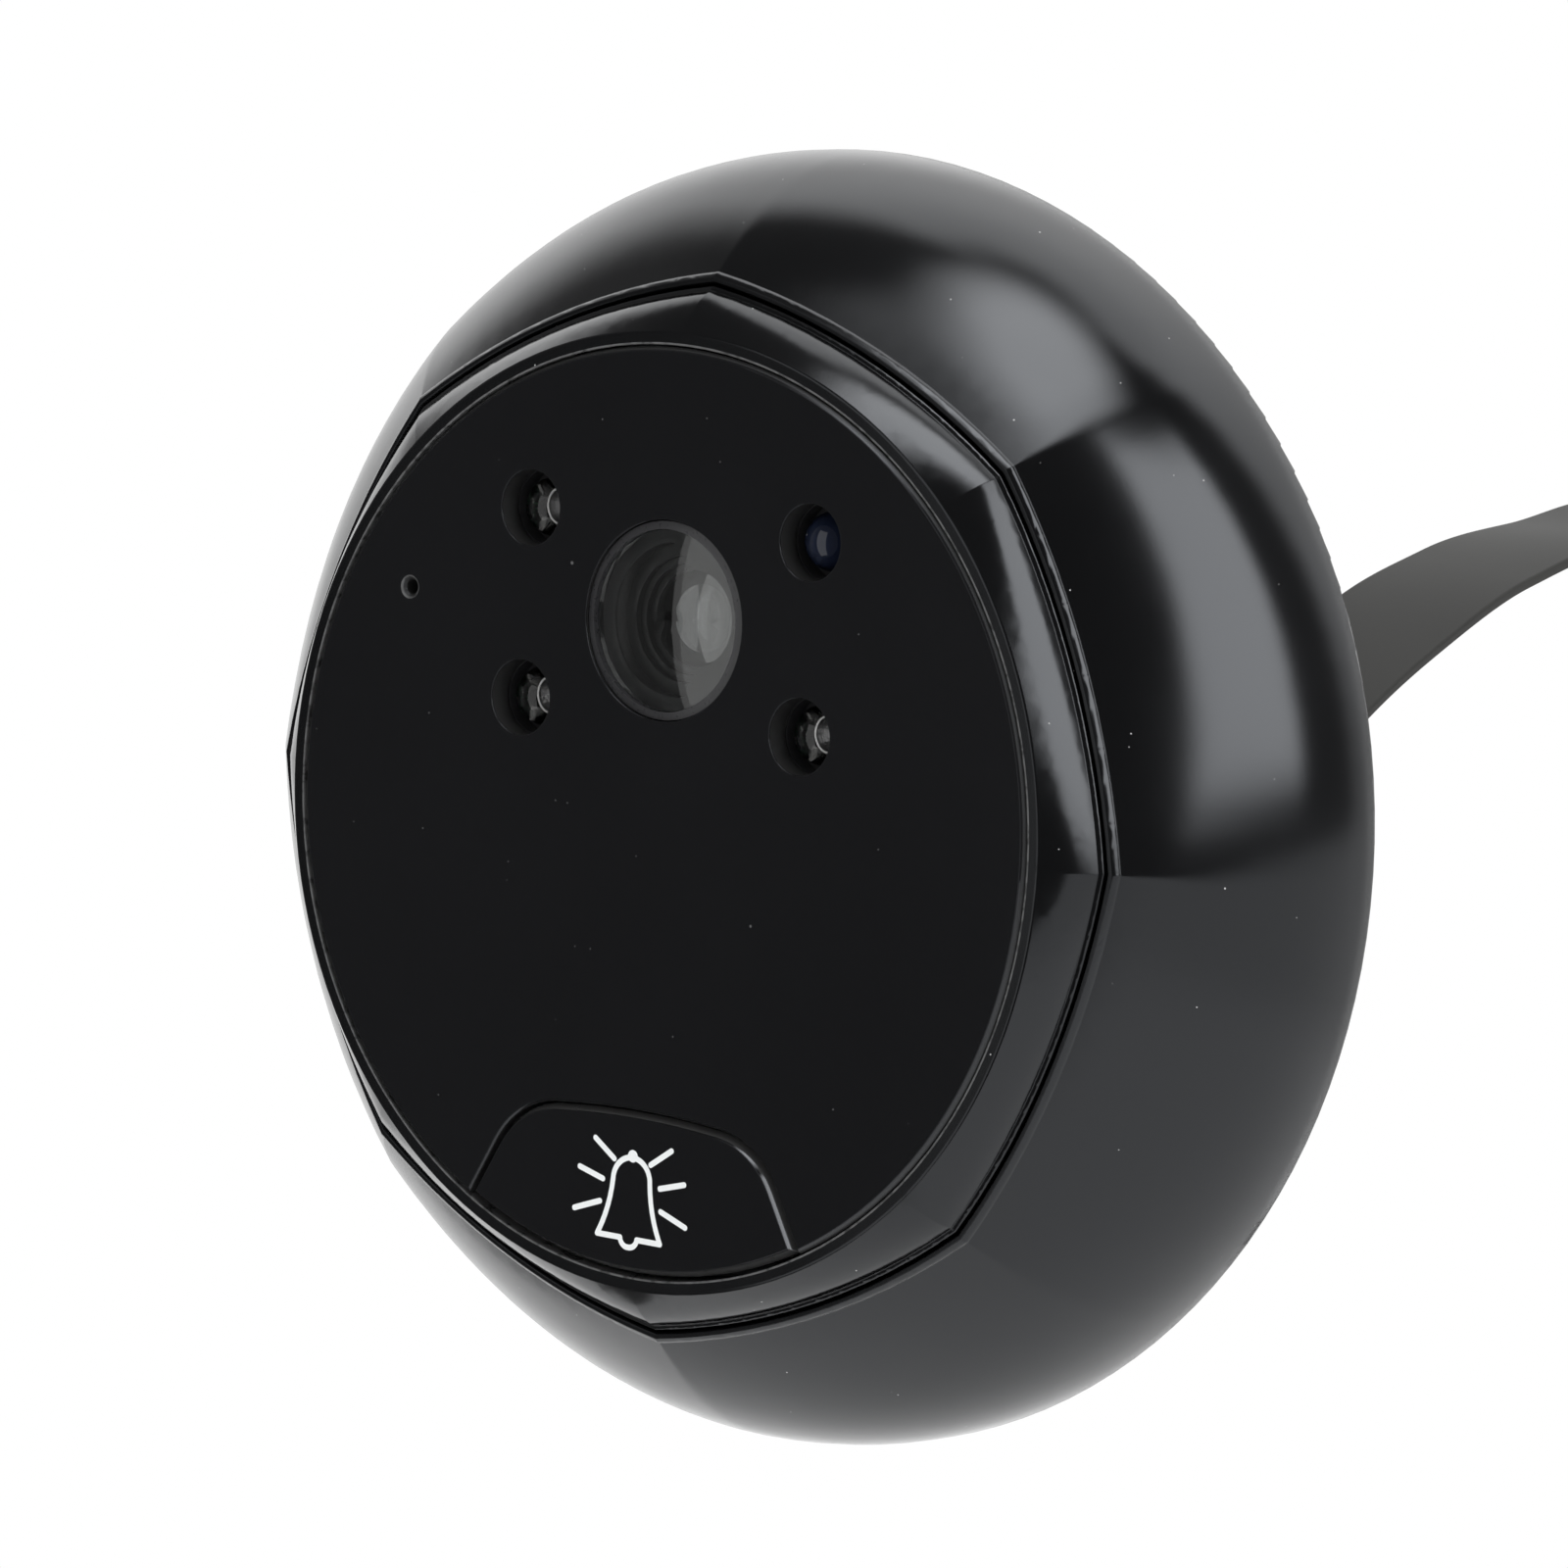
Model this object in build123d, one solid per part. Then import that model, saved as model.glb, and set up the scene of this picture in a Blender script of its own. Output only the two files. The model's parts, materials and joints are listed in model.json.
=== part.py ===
from build123d import *
import os
from math import asin, atan2, cos, degrees, pi, radians, sin, sqrt, tan

# Peephole door camera: the outdoor unit with its lens, infrared lamps, bell button and ribbon cable.
# The origin is the centre of the rear face that presses on the door. X is to the right as a visitor
# sees the unit, Y runs back into the door and Z is up. All lengths are millimetres.

# Front panel
panel_radius = 22.2
panel_thickness = 1.2
panel_proud = 0.1              # panel face in front of the bezel's rim
panel_gap = 0.1
panel_chamfer = 0.22
cutout_chamfer = 0.1           # round the button's cut-out
tape_thickness = 0.15
tape_width = 1.6

# Octagonal bezel
bezel_rim_width = 0.6          # flat rim round the panel's recess
bezel_slope_width = 2.2        # from the rim out to the corner of the octagonal seam
bezel_rise = 2.25              # from the seam up to the rim
bezel_rim_fillet = 0.15
bezel_power = 1.5
bezel_depth_shares = (0.0, 0.25, 0.55, 1.0)
side_bulge = 1.16              # how far each octagon side bows out from its chord
foot_width = 0.22              # rounded bead beside the seam
foot_height = 0.16
bead_depth_shares = (0.0, 0.3, 0.65, 1.0)
bezel_floor = 1.2
bezel_skirt_step = 0.55        # from the panel's edge out to the skirt's inner face
flange_width = 0.9
flange_thickness = 0.8
seal_thickness = 0.4
seal_inset = 0.1

# Outer ring
ring_reach = 6.4               # from the seam's corner out to the widest place
rim_band = 1.0                 # straight band at the widest place
rim_edge_fillet = 0.4
dome_power = 2.1               # how fast the octagon fades into the round rim
dome_depth_shares = (0.0, 0.08, 0.2, 0.36, 0.55, 0.76, 1.0)
seam_gap = 0.12
lip_width = 0.67               # octagonal lip of the ring round the seam
lip_height = 0.35
lip_land = 0.3
lip_edge = 0.1                 # chamfer beside the seam
ledge_thickness = 2.3          # ring material that the bezel's flange holds from behind
cavity_room = 0.35             # round the corners of the bezel's flange
cavity_flare = 1.25            # the cavity widens this much towards the cover
cavity_cone_depth = 4.6
ring_rear_wall = 2.5

# Foam pad and rear cover
foam_proud = 0.5
foam_thickness = 1.0
foam_width = 3.4
foam_inset = 0.7               # from the cover's edge in to the foam
cover_thickness = 2.0
cover_clearance = 0.2
cover_gasket_thickness = 0.4
cover_gasket_width = 1.3
cover_boss_margin = 2.4        # boss outside the tube's flange
cover_boss_height = 1.5
cover_skirt_overlap = 0.5      # skirt's outer face outside the seam's corner
cover_skirt_wall = 1.6

# Bell button
button_height = 7.85           # from the panel's lower edge up to the top of the button
button_top_bow = 0.55          # the top edge bows up this much between its corners
button_half_top = 7.47
button_flare_drop = 1.8        # the flared sides aim at this far below the panel
button_half_low = 12.56
button_corner = 4.5
button_gap = 0.12
button_proud = 0.1
button_travel = 0.5
button_bevel = 0.3             # steep bevel round the front face, across
button_bevel_depth = 0.5       # the same bevel, along Y
button_flange = 0.7
button_flange_thickness = 0.8
button_rest_gap = 0.15
button_stem_radius = 1.8
button_stem_length = 0.4
button_opening_gap = 0.2

# Bell symbol, printed into a shallow recess
symbol_depth = 0.12
symbol_stroke = 0.28
bell_inset = 2.17              # top of the bell below the top of the button
bell_half_shoulder = 1.14
bell_waist_drop = 2.5
bell_half_waist = 1.38
bell_foot_drop = 3.91
bell_half_foot = 1.95
clapper_half_width = 0.52
clapper_drop = 0.42
knob_radius = 0.3
knob_rise = 0.07
ray_start_shares = ((0.58, 0.05), (0.91, 0.32), (0.97, 0.6))     # of the foot's half width and drop
ray_end_shares = ((1.21, -0.165), (1.66, 0.22), (1.765, 0.74))

# Tact switch
switch_side = 6.0
switch_inset = 3.15            # switch axis below the top of the button
plunger_stand = 1.0            # plunger length in front of the switch body
plunger_radius = 1.7
plunger_gap = 0.15
plunger_reach = 0.5            # plunger length inside the switch body
button_to_plunger = 0.1

# Lens module
lens_inset = 12.97             # lens axis below the panel's upper edge
lens_hole_gap = 0.06
lens_ring_inner_radius = 4.35
lens_ring_wall = 0.39
lens_ring_sink = 0.05
lens_ring_bevel = 0.1
lens_ring_height = 1.05
front_glass_sink = 0.3         # the glass's edge behind the ring's front edge
front_glass_sag = 0.45
front_glass_hollow = 0.45
front_glass_edge = 0.9
glass_edge_gap = 0.03
spacer_front_sink = 2.0
spacer_steps = 3
spacer_step = 0.3
spacer_tread = 0.35
middle_lens_seat_wall = 1.0
middle_lens_sag = 0.5
middle_lens_poke = 0.35        # how far the crown stands in the spacer's bore
middle_lens_edge = 0.7
inner_spacer_thickness = 0.6
rear_lens_inset = 1.2          # rear lens inside the barrel's bore
rear_lens_sag = 0.35
rear_lens_poke = 0.1
rear_lens_edge = 0.6
barrel_step = 0.54             # threaded body inside the head
barrel_wall = 0.6
barrel_head_length = 2.55
barrel_rear_wall = 0.8
barrel_rear_lip = 0.6
barrel_thread_engage = 2.6
barrel_focus_room = 0.65       # between the barrel and the holder's shelf
holder_margin = 1.8            # holder's base outside the barrel
holder_base = 2.7
holder_wall = 0.9
holder_screw_gap = 0.05
holder_shelf = 0.5
holder_room = 0.45             # round the sensor
filter_margin = 0.2            # filter past the sensor's edge
filter_thickness = 0.3
filter_above_sensor = 0.25
sensor_width = 5.8
sensor_height = 4.8
sensor_thickness = 0.8
sensor_rim = 0.45
sensor_well = 0.15
lens_seal_section = 0.7

# Infrared lamps and light sensor
lamp_from_holder = 2.6         # lamp axis outside the lens holder
lamp_rise = 4.57               # upper lamps above the lens axis
lamp_drop = 4.58               # lower lamps below it
lamp_body_radius = 1.45
lamp_hole_gap = 0.38
lamp_length = 5.3
lamp_tip_sink = 0.45
lamp_flange_step = 0.25
lamp_flange_height = 1.0
lamp_lead_side = 0.5
lamp_lead_spacing = 2.54
sleeve_wall = 0.45             # at the sleeve's mouth
sleeve_wall_gap = 0.04
sleeve_mouth_length = 0.9
collar_wall = 0.7
collar_length = 2.4

# Microphone
microphone_inset = 3.74        # from the panel's edge
microphone_hole_radius = 0.36
microphone_hole_chamfer = 0.2
microphone_radius = 2.0
microphone_height = 1.6
boot_wall = 0.5
boot_front = 0.3
boot_collar_length = 1.3

# Main board and what it carries
board_edge_gap = 1.35          # inside the bezel's skirt
board_thickness = 1.2
board_rear_from_cover = 3.3
chip_side = 5.0
chip_height = 0.9
chip_place_shares = ((-0.4, -0.47), (0.4, -0.47))                # of the board's radius
passive_length = 2.0
passive_width = 1.25
passive_height = 0.7
passive_place_shares = ((-0.64, -0.53), (-0.2, -0.21), (0.0, -0.21), (0.2, -0.21), (0.66, -0.51),
                        (-0.15, -0.45), (0.15, -0.45), (-0.77, 0.08), (0.77, 0.11), (-0.21, 0.85),
                        (0.21, 0.85), (0.73, 0.44))
backlight_length = 3.0
backlight_width = 1.4
backlight_height = 1.0
backlight_x = 6.0
backlight_rise = 1.0           # above the switch axis

# Screw posts, standoffs and screws
post_inset = 2.3               # post axis inside the foam
post_radius = 2.2
post_web = 2.4
post_gap = 0.3                 # room round a post and in front of it
cover_screw_pilot = 0.9
cover_screw_length = 6.0
cover_screw_head_radius = 1.9
cover_screw_head_height = 1.1
cover_screw_clearance = 0.2
screw_hole_gap = 0.1
screw_tip_gap = 0.4
drive_recess_radius = 0.55
drive_recess_share = 0.6
standoff_radius = 1.7
standoff_place_shares = ((-0.63, -0.21), (0.63, -0.21), (0.0, 0.82))
board_screw_radius = 0.75
board_screw_pilot = 0.7
board_screw_length = 5.0
board_screw_head_radius = 1.5
board_screw_head_height = 0.8

# Threaded tube, its nut and the cable grommet
tube_bore_room = 0.9           # on each side of the ribbon's plug
tube_wall = 1.3
tube_length = 19.0             # behind the mounting face
tube_shank_length = 7.0        # plain stretch behind the mounting face
tube_flange_width = 2.2
tube_flange_thickness = 1.2
thread_pitch = 1.0
thread_depth = 0.55
thread_crest = 0.2
thread_end_land = 1.0
nut_wall = 1.5                 # at the middle of its flats
nut_thickness = 1.8
nut_recess_gap = 0.8
tube_fit = 0.05
grommet_length = 5.0
grommet_lip = 1.0
grommet_lip_width = 0.9
grommet_fit = 0.05

# Ribbon cable
ribbon_width = 7.0
ribbon_thickness = 0.6
ribbon_lean = 12.0             # degrees, from level to the ribbon's width
ribbon_fit = 0.05
socket_side_wall = 1.2
socket_depth = 2.8
socket_height = 3.3
socket_slot_depth = 2.0
ribbon_route = ((20.0, 0.0), (32.0, 0.0), (43.0, 6.2), (55.0, 10.4), (67.5, 11.6), (79.0, 8.0),
                (88.0, -1.0), (93.0, -12.5), (94.6, -25.5), (93.7, -39.0), (93.2, -52.5),
                (94.0, -66.0), (94.0, -79.0))
route_arc_share = 0.45
plug_side_wall = 1.3
plug_depth = 2.6
plug_height = 5.2
plug_grip = 0.5
plug_slot_depth = 1.6
contact_count = 12
contact_pitch = 0.5
contact_width = 0.28
contact_length = 1.5
contact_thickness = 0.3

overrun = 1.0

# Radii that follow, from the panel outwards
bezel_rim_outer_radius = panel_radius + panel_gap + bezel_rim_width
seam_corner_radius = bezel_rim_outer_radius + bezel_slope_width
lip_corner_radius = seam_corner_radius + lip_width
housing_radius = seam_corner_radius + ring_reach
bezel_skirt_inner_radius = panel_radius + bezel_skirt_step
board_radius = bezel_skirt_inner_radius - board_edge_gap
cavity_front_radius = seam_corner_radius + flange_width + cavity_room
cavity_radius = cavity_front_radius + cavity_flare
cover_skirt_outer_radius = seam_corner_radius + cover_skirt_overlap
cover_skirt_inner_radius = cover_skirt_outer_radius - cover_skirt_wall
cover_radius = housing_radius - ring_rear_wall
foam_outer_radius = cover_radius - foam_inset
foam_inner_radius = foam_outer_radius - foam_width
post_pitch_radius = foam_inner_radius - post_inset

# The tube's bore passes the ribbon's plug, and what sits round the tube follows
plug_width = ribbon_width + 2 * plug_side_wall
socket_width = ribbon_width + 2 * socket_side_wall
tube_bore_radius = plug_width / 2 + tube_bore_room
tube_radius = tube_bore_radius + tube_wall
tube_flange_radius = tube_radius + tube_flange_width
cover_boss_radius = tube_flange_radius + cover_boss_margin
nut_across_flats = 2 * (tube_radius + nut_wall)
nut_corner_radius = nut_across_flats / 2 / cos(pi / 6)
grommet_lip_radius = tube_bore_radius + grommet_lip_width


def bow_reach(radius, sag, depth):
    """Distance from a lens's axis at which its bowed face has fallen back by a depth."""
    curve = (radius ** 2 + sag ** 2) / (2 * sag)
    return sqrt(curve ** 2 - (curve - depth) ** 2)


# Radii of the lens module, from the front glass inwards
lens_ring_radius = lens_ring_inner_radius + lens_ring_wall
barrel_radius = lens_ring_radius - barrel_step
spacer_outer_radius = barrel_radius - barrel_wall
middle_lens_radius = spacer_outer_radius - middle_lens_seat_wall
rear_lens_radius = spacer_outer_radius - rear_lens_inset
spacer_bore = bow_reach(middle_lens_radius, middle_lens_sag, middle_lens_poke + glass_edge_gap)
inner_spacer_bore = bow_reach(rear_lens_radius, rear_lens_sag, rear_lens_poke + glass_edge_gap)
barrel_rear_bore = rear_lens_radius - barrel_rear_lip
holder_side = 2 * (barrel_radius + holder_margin)

# Radii round a lamp
lamp_hole_radius = lamp_body_radius + lamp_hole_gap
lamp_flange_radius = lamp_body_radius + lamp_flange_step
sleeve_radius = lamp_hole_radius + sleeve_wall

# Places on the unit's face
lens_z = panel_radius - lens_inset
lamp_x = holder_side / 2 + lamp_from_holder
lamp_upper_z = lens_z + lamp_rise
lamp_lower_z = lens_z - lamp_drop
microphone_z = lens_z
microphone_x = -sqrt((panel_radius - microphone_inset) ** 2 - microphone_z ** 2)
button_top = button_height - panel_radius
button_low = -panel_radius - button_flare_drop
button_lower_radius = panel_radius - button_gap
bell_top = button_top - bell_inset
switch_z = button_top - switch_inset
backlight_z = switch_z + backlight_rise

# Depths behind the panel's face: the lens stack and the board make the unit as deep as it is
spacer_depth = spacer_front_sink + spacer_step * spacer_steps
middle_lens_depth = spacer_depth - middle_lens_poke + middle_lens_sag + middle_lens_edge
inner_spacer_depth = middle_lens_depth + inner_spacer_thickness
rear_lens_depth = inner_spacer_depth - rear_lens_poke + rear_lens_sag + rear_lens_edge
barrel_depth = rear_lens_depth + barrel_rear_wall
filter_depth = barrel_depth + barrel_focus_room + holder_shelf
board_depth = filter_depth + filter_thickness + filter_above_sensor + sensor_thickness
unit_depth = board_depth + board_thickness + board_rear_from_cover + cover_thickness + foam_proud

# Places along Y
mount_face = 0.0
ring_rear = mount_face - foam_proud
rim_front = ring_rear - rim_band
cover_front = ring_rear - cover_thickness
gasket_front = cover_front - cover_gasket_thickness
board_rear = cover_front - board_rear_from_cover
board_front = board_rear - board_thickness
panel_face = mount_face - unit_depth
panel_rear = panel_face + panel_thickness
floor_front = panel_rear + tape_thickness
floor_rear = floor_front + bezel_floor
bezel_rim_face = panel_face + panel_proud
seam_face = bezel_rim_face + bezel_rise
lip_foot = seam_face + lip_height
ledge_rear = lip_foot + ledge_thickness
flange_front = ledge_rear + seal_thickness
flange_rear = flange_front + flange_thickness
lens_ring_face = panel_face + lens_ring_sink
front_glass_crown = lens_ring_face + front_glass_sink - front_glass_sag
front_glass_rear = lens_ring_face + front_glass_sink + front_glass_edge
spacer_front = panel_face + spacer_front_sink
spacer_rear = panel_face + spacer_depth
middle_lens_crown = spacer_rear - middle_lens_poke
middle_lens_rear = panel_face + middle_lens_depth
inner_spacer_rear = panel_face + inner_spacer_depth
rear_lens_crown = inner_spacer_rear - rear_lens_poke
rear_lens_rear = panel_face + rear_lens_depth
barrel_rear = panel_face + barrel_depth
filter_front = panel_face + filter_depth
button_flange_front = floor_rear + button_rest_gap
button_flange_rear = button_flange_front + button_flange_thickness
button_stem_rear = button_flange_rear + button_stem_length
plunger_tip = button_stem_rear + button_to_plunger
switch_face = plunger_tip + plunger_stand
lamp_tip = panel_face + lamp_tip_sink
lamp_base = lamp_tip + lamp_length
boss_front = cover_front - cover_boss_height
tube_flange_front = boss_front - tube_flange_thickness
grommet_end = tube_length + grommet_lip
socket_rear = board_rear + socket_height


def side_radius(corner_radius):
    """Distance from the axis to the middle of an octagon's bowed side."""
    return corner_radius * cos(pi / 8) + side_bulge


def octagon(corner_radius, middle_radius=None):
    """Octagon with one corner straight up and bowed sides, as a face in the XY plane."""
    middle = side_radius(corner_radius) if middle_radius is None else middle_radius
    corners = [Vector(corner_radius * sin(k * pi / 4), corner_radius * cos(k * pi / 4)) for k in range(8)]
    middles = [Vector(middle * sin(k * pi / 4 + pi / 8), middle * cos(k * pi / 4 + pi / 8)) for k in range(8)]
    sides = [ThreePointArc(corners[k], middles[k], corners[(k + 1) % 8]) for k in range(8)]
    return make_face(sides)


def at_depth(sketch, depth):
    """Stand a sketch upright, facing the visitor, at a place along Y."""
    return Plane.XZ.offset(-depth) * sketch


def slab(sketch, front, rear):
    """Solid with a sketch's outline between two places along Y."""
    return extrude(at_depth(sketch, rear), amount=rear - front)


def rod(radius, front, rear, x=0.0, z=0.0):
    """Round rod along Y."""
    return slab(Pos(x, z) * Circle(radius), front, rear)


def block(width, height, front, rear, x=0.0, z=0.0):
    """Rectangular block along Y."""
    return slab(Pos(x, z) * Rectangle(width, height), front, rear)


def turned(points, x=0.0, z=0.0):
    """Solid of revolution about a line along Y, from (radius, depth) points."""
    profile = make_face(Polyline(*points, close=True))
    return Pos(x, 0, z) * revolve(profile, Axis.Y)


def ring_between(inner, outer, front, rear, x=0.0, z=0.0):
    """Plain round ring along Y."""
    return rod(outer, front, rear, x, z) - rod(inner, front - overrun, rear + overrun, x, z)


def cover_screw_seat():
    """Place of the face that the cover screws' heads press on."""
    return ring_rear - cover_screw_head_height


def polar_places(radius, count=4):
    """Places evenly spaced on a circle, starting at 45 degrees."""
    return [(radius * sin(pi / 4 + k * 2 * pi / count), radius * cos(pi / 4 + k * 2 * pi / count))
            for k in range(count)]


def lamp_places():
    """Centres of the three infrared lamps, then of the light sensor."""
    return [(-lamp_x, lamp_upper_z), (-lamp_x, lamp_lower_z), (lamp_x, lamp_lower_z), (lamp_x, lamp_upper_z)]


def board_places(shares):
    """Places on the board, from shares of its radius."""
    return [(across * board_radius, up * board_radius) for across, up in shares]


def as_one(solids):
    """Group of separate solids in one node."""
    return Compound(children=[piece for solid in solids for piece in solid.solids()])


# Outer ring

def dome():
    """Eight soft pillows that start at the octagonal lip and fade into the round rim."""
    sections = []
    for share in dome_depth_shares:
        fade = (1 - share) ** dome_power
        corner = housing_radius - (housing_radius - lip_corner_radius) * fade
        middle = housing_radius - (housing_radius - side_radius(lip_corner_radius)) * fade
        depth = lip_foot + (rim_front - lip_foot) * share
        sections.append(at_depth(octagon(corner, middle), depth))
    return loft(sections)


def ring_cavity():
    """Room inside the ring, with the pocket for the rear cover and its gasket."""
    pocket_radius = cover_radius + cover_clearance
    return turned([
        (0, ledge_rear),
        (cavity_front_radius, ledge_rear),
        (cavity_radius, ledge_rear + cavity_cone_depth),
        (cavity_radius, gasket_front),
        (pocket_radius, gasket_front),
        (pocket_radius, ring_rear + overrun),
        (0, ring_rear + overrun),
    ])


def housing_ring():
    """Gloss outer ring, a shell that is open at the front and the rear."""
    band = rod(housing_radius, rim_front, ring_rear)
    band = fillet(band.edges().filter_by(GeomType.CIRCLE).group_by(Axis.Y)[-1], rim_edge_fillet)
    posts, pilots = screw_posts()
    return dome() + band + ring_lip() - ring_opening() - ring_cavity() + posts - pilots


def ring_lip():
    """Octagonal bead round the seam, rounded on its outside."""
    top_radius = seam_corner_radius + seam_gap + lip_land
    return bead(top_radius, lip_corner_radius, seam_face, lip_foot)


def ring_opening():
    """Octagonal opening for the bezel, with a small chamfer at its front."""
    inner = seam_corner_radius + seam_gap
    opening = slab(octagon(inner), seam_face - overrun, ledge_rear + overrun)
    flare = loft([at_depth(octagon(inner + lip_edge + overrun), seam_face - overrun),
                  at_depth(octagon(inner), seam_face + lip_edge)], ruled=True)
    return opening + flare


def post_outlines(grow=0.0):
    """Outlines of the screw posts with their webs, or of the room that they need."""
    web_length = cavity_radius - post_pitch_radius
    middle = post_pitch_radius + web_length / 2
    outline = Pos(post_pitch_radius, 0) * Circle(post_radius + grow)
    outline += Pos(middle, 0) * Rectangle(web_length, post_web + 2 * grow)
    outlines = Sketch()
    for k in range(4):
        outlines += Rot(0, 0, 45 + 90 * k) * outline
    return outlines


def screw_posts():
    """Four posts on webs from the ring's wall, and the pilot holes for the cover screws."""
    posts = slab(post_outlines(), flange_rear + post_gap, cover_front)
    tip = cover_screw_seat() - cover_screw_length - screw_tip_gap
    pilots = Part()
    for x, z in polar_places(post_pitch_radius):
        pilots += rod(cover_screw_pilot, tip, cover_front + overrun, x, z)
    return posts, pilots


def bead(front_corner, rear_corner, front, rear):
    """Solid whose octagonal outline curves out from a front face and ends straight along Y."""
    sections = []
    for share in bead_depth_shares:
        corner = rear_corner - (rear_corner - front_corner) * (1 - share) ** 2
        sections.append(at_depth(octagon(corner), front + (rear - front) * share))
    return loft(sections)


def bezel_seal():
    """Flat octagonal seal between the bezel's flange and the ring."""
    outer = seam_corner_radius + flange_width - seal_inset
    inner = seam_corner_radius + seam_gap
    return slab(octagon(outer) - octagon(inner), ledge_rear, flange_front)


# Bezel

def bezel_front():
    """Sloping front of the bezel, from the octagonal foot up to the round rim."""
    foot_corner = seam_corner_radius - foot_width
    foot_face = seam_face - foot_height
    sections = []
    for share in bezel_depth_shares:
        fade = (1 - share) ** bezel_power
        corner = foot_corner - (foot_corner - bezel_rim_outer_radius) * fade
        middle = side_radius(foot_corner) - (side_radius(foot_corner) - bezel_rim_outer_radius) * fade
        depth = bezel_rim_face + (foot_face - bezel_rim_face) * share
        sections.append(at_depth(octagon(corner, middle), depth))
    foot = bead(foot_corner, seam_corner_radius, foot_face, seam_face)
    slope = loft(sections)
    return fillet(slope.edges().group_by(Axis.Y)[0], bezel_rim_fillet) + foot


def board_standoffs():
    """Three standoffs for the board, and their pilot holes."""
    standoffs = Part()
    pilots = Part()
    for x, z in board_places(standoff_place_shares):
        standoffs += rod(standoff_radius, floor_rear, board_front, x, z)
        tip = board_rear - board_screw_length - screw_tip_gap
        pilots += rod(board_screw_pilot, tip, board_front + overrun, x, z)
    return standoffs, pilots


def bezel_collars():
    """Short collars behind the floor that hold the lamp sleeves and the microphone boot."""
    collars = Part()
    collar_radius = sleeve_radius + sleeve_wall_gap + collar_wall
    for x, z in lamp_places():
        collars += rod(collar_radius, floor_rear, floor_rear + collar_length, x, z)
    boot_collar_radius = microphone_radius + boot_wall + sleeve_wall_gap + collar_wall
    boot_collar_rear = floor_rear + boot_collar_length
    return collars + rod(boot_collar_radius, floor_rear, boot_collar_rear, microphone_x, microphone_z)


def bezel_openings():
    """Everything that passes through the bezel's floor."""
    front = floor_front - overrun
    rear = floor_rear + collar_length + overrun
    cuts = rod(lens_ring_radius + button_opening_gap, front, rear, 0, lens_z)
    for x, z in lamp_places():
        cuts += rod(sleeve_radius + sleeve_wall_gap, front, rear, x, z)
    sound_radius = microphone_hole_radius + microphone_hole_chamfer
    boot_room = microphone_radius + boot_wall + sleeve_wall_gap
    cuts += rod(sound_radius, front, floor_rear, microphone_x, microphone_z)
    cuts += rod(boot_room, floor_rear, rear, microphone_x, microphone_z)
    cuts += slab(button_outline(button_opening_gap, panel_radius + panel_gap), front, rear)
    return cuts


def octagonal_bezel():
    """Gloss octagonal frame that carries the panel and the board."""
    flange = slab(octagon(seam_corner_radius + flange_width), flange_front, flange_rear)
    skirt = slab(octagon(seam_corner_radius), seam_face, flange_rear)
    recess = rod(panel_radius + panel_gap, bezel_rim_face - overrun, floor_front)
    hollow = rod(bezel_skirt_inner_radius, floor_rear, flange_rear + overrun)
    standoffs, pilots = board_standoffs()
    body = bezel_front() + skirt + flange - recess - hollow
    return body + standoffs + bezel_collars() - bezel_openings() - pilots


# Front panel

def button_outline(grow, lower_radius):
    """Button outline: bowed top, two large corners and flared sides, closed below by a circle."""
    left = (-button_half_top, button_top - button_top_bow)
    right = (button_half_top, button_top - button_top_bow)
    shape = make_face([
        ThreePointArc(left, (0, button_top), right),
        Line(right, (button_half_low, button_low)),
        Line((button_half_low, button_low), (-button_half_low, button_low)),
        Line((-button_half_low, button_low), left),
    ])
    shape = fillet(shape.vertices().group_by(Axis.Y)[-1], button_corner)
    grown = offset(shape, grow) if grow else shape
    return grown & Circle(lower_radius)


def front_panel():
    """Gloss black disc with holes for the lens, lamps, sensor and microphone, and the button's cut-out."""
    disc = rod(panel_radius, panel_face, panel_rear)
    disc = chamfer(disc.edges().filter_by(GeomType.CIRCLE).group_by(Axis.Y)[0], panel_chamfer)
    front = panel_face - overrun
    rear = panel_rear + overrun
    disc -= rod(lens_ring_radius + lens_hole_gap, front, rear, 0, lens_z)
    for x, z in lamp_places():
        disc -= rod(lamp_hole_radius, front, rear, x, z)
    disc -= rod(microphone_hole_radius, front, rear, microphone_x, microphone_z)
    sink = microphone_hole_radius + microphone_hole_chamfer
    disc -= turned([(0, panel_face - overrun), (sink, panel_face - overrun), (sink, panel_face),
                    (microphone_hole_radius, panel_face + microphone_hole_chamfer),
                    (0, panel_face + microphone_hole_chamfer)], microphone_x, microphone_z)
    disc -= slab(button_outline(button_gap, panel_radius + overrun), front, rear)
    outline = disc.faces().sort_by(Axis.Y)[0].outer_wire().edges()
    return chamfer(outline.sort_by(SortBy.LENGTH)[:-1], cutout_chamfer)


def panel_tape():
    """Double-sided tape that holds the panel on the bezel's floor."""
    ring = Circle(panel_radius - panel_gap) - Circle(panel_radius - panel_gap - tape_width)
    ring -= button_outline(button_opening_gap, panel_radius + overrun)
    return slab(ring, panel_rear, floor_front)


# Bell button

def doorbell_button():
    """Button cap with its flange and stem, and the recess for the printed symbol."""
    cap_face = panel_face - button_proud
    cap = slab(button_outline(0, button_lower_radius), cap_face, button_flange_front)
    front = cap.faces().sort_by(Axis.Y)[0]
    cap = chamfer(front.edges(), button_bevel, button_bevel_depth, reference=front)
    flange_radius = bezel_skirt_inner_radius - button_gap - button_flange / 2
    flange = slab(button_outline(button_flange, flange_radius), button_flange_front, button_flange_rear)
    stem = rod(button_stem_radius, button_flange_rear, button_stem_rear, 0, switch_z)
    recess = slab(symbol_outline(), cap_face - overrun, cap_face + symbol_depth)
    return cap + flange + stem - recess


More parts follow.
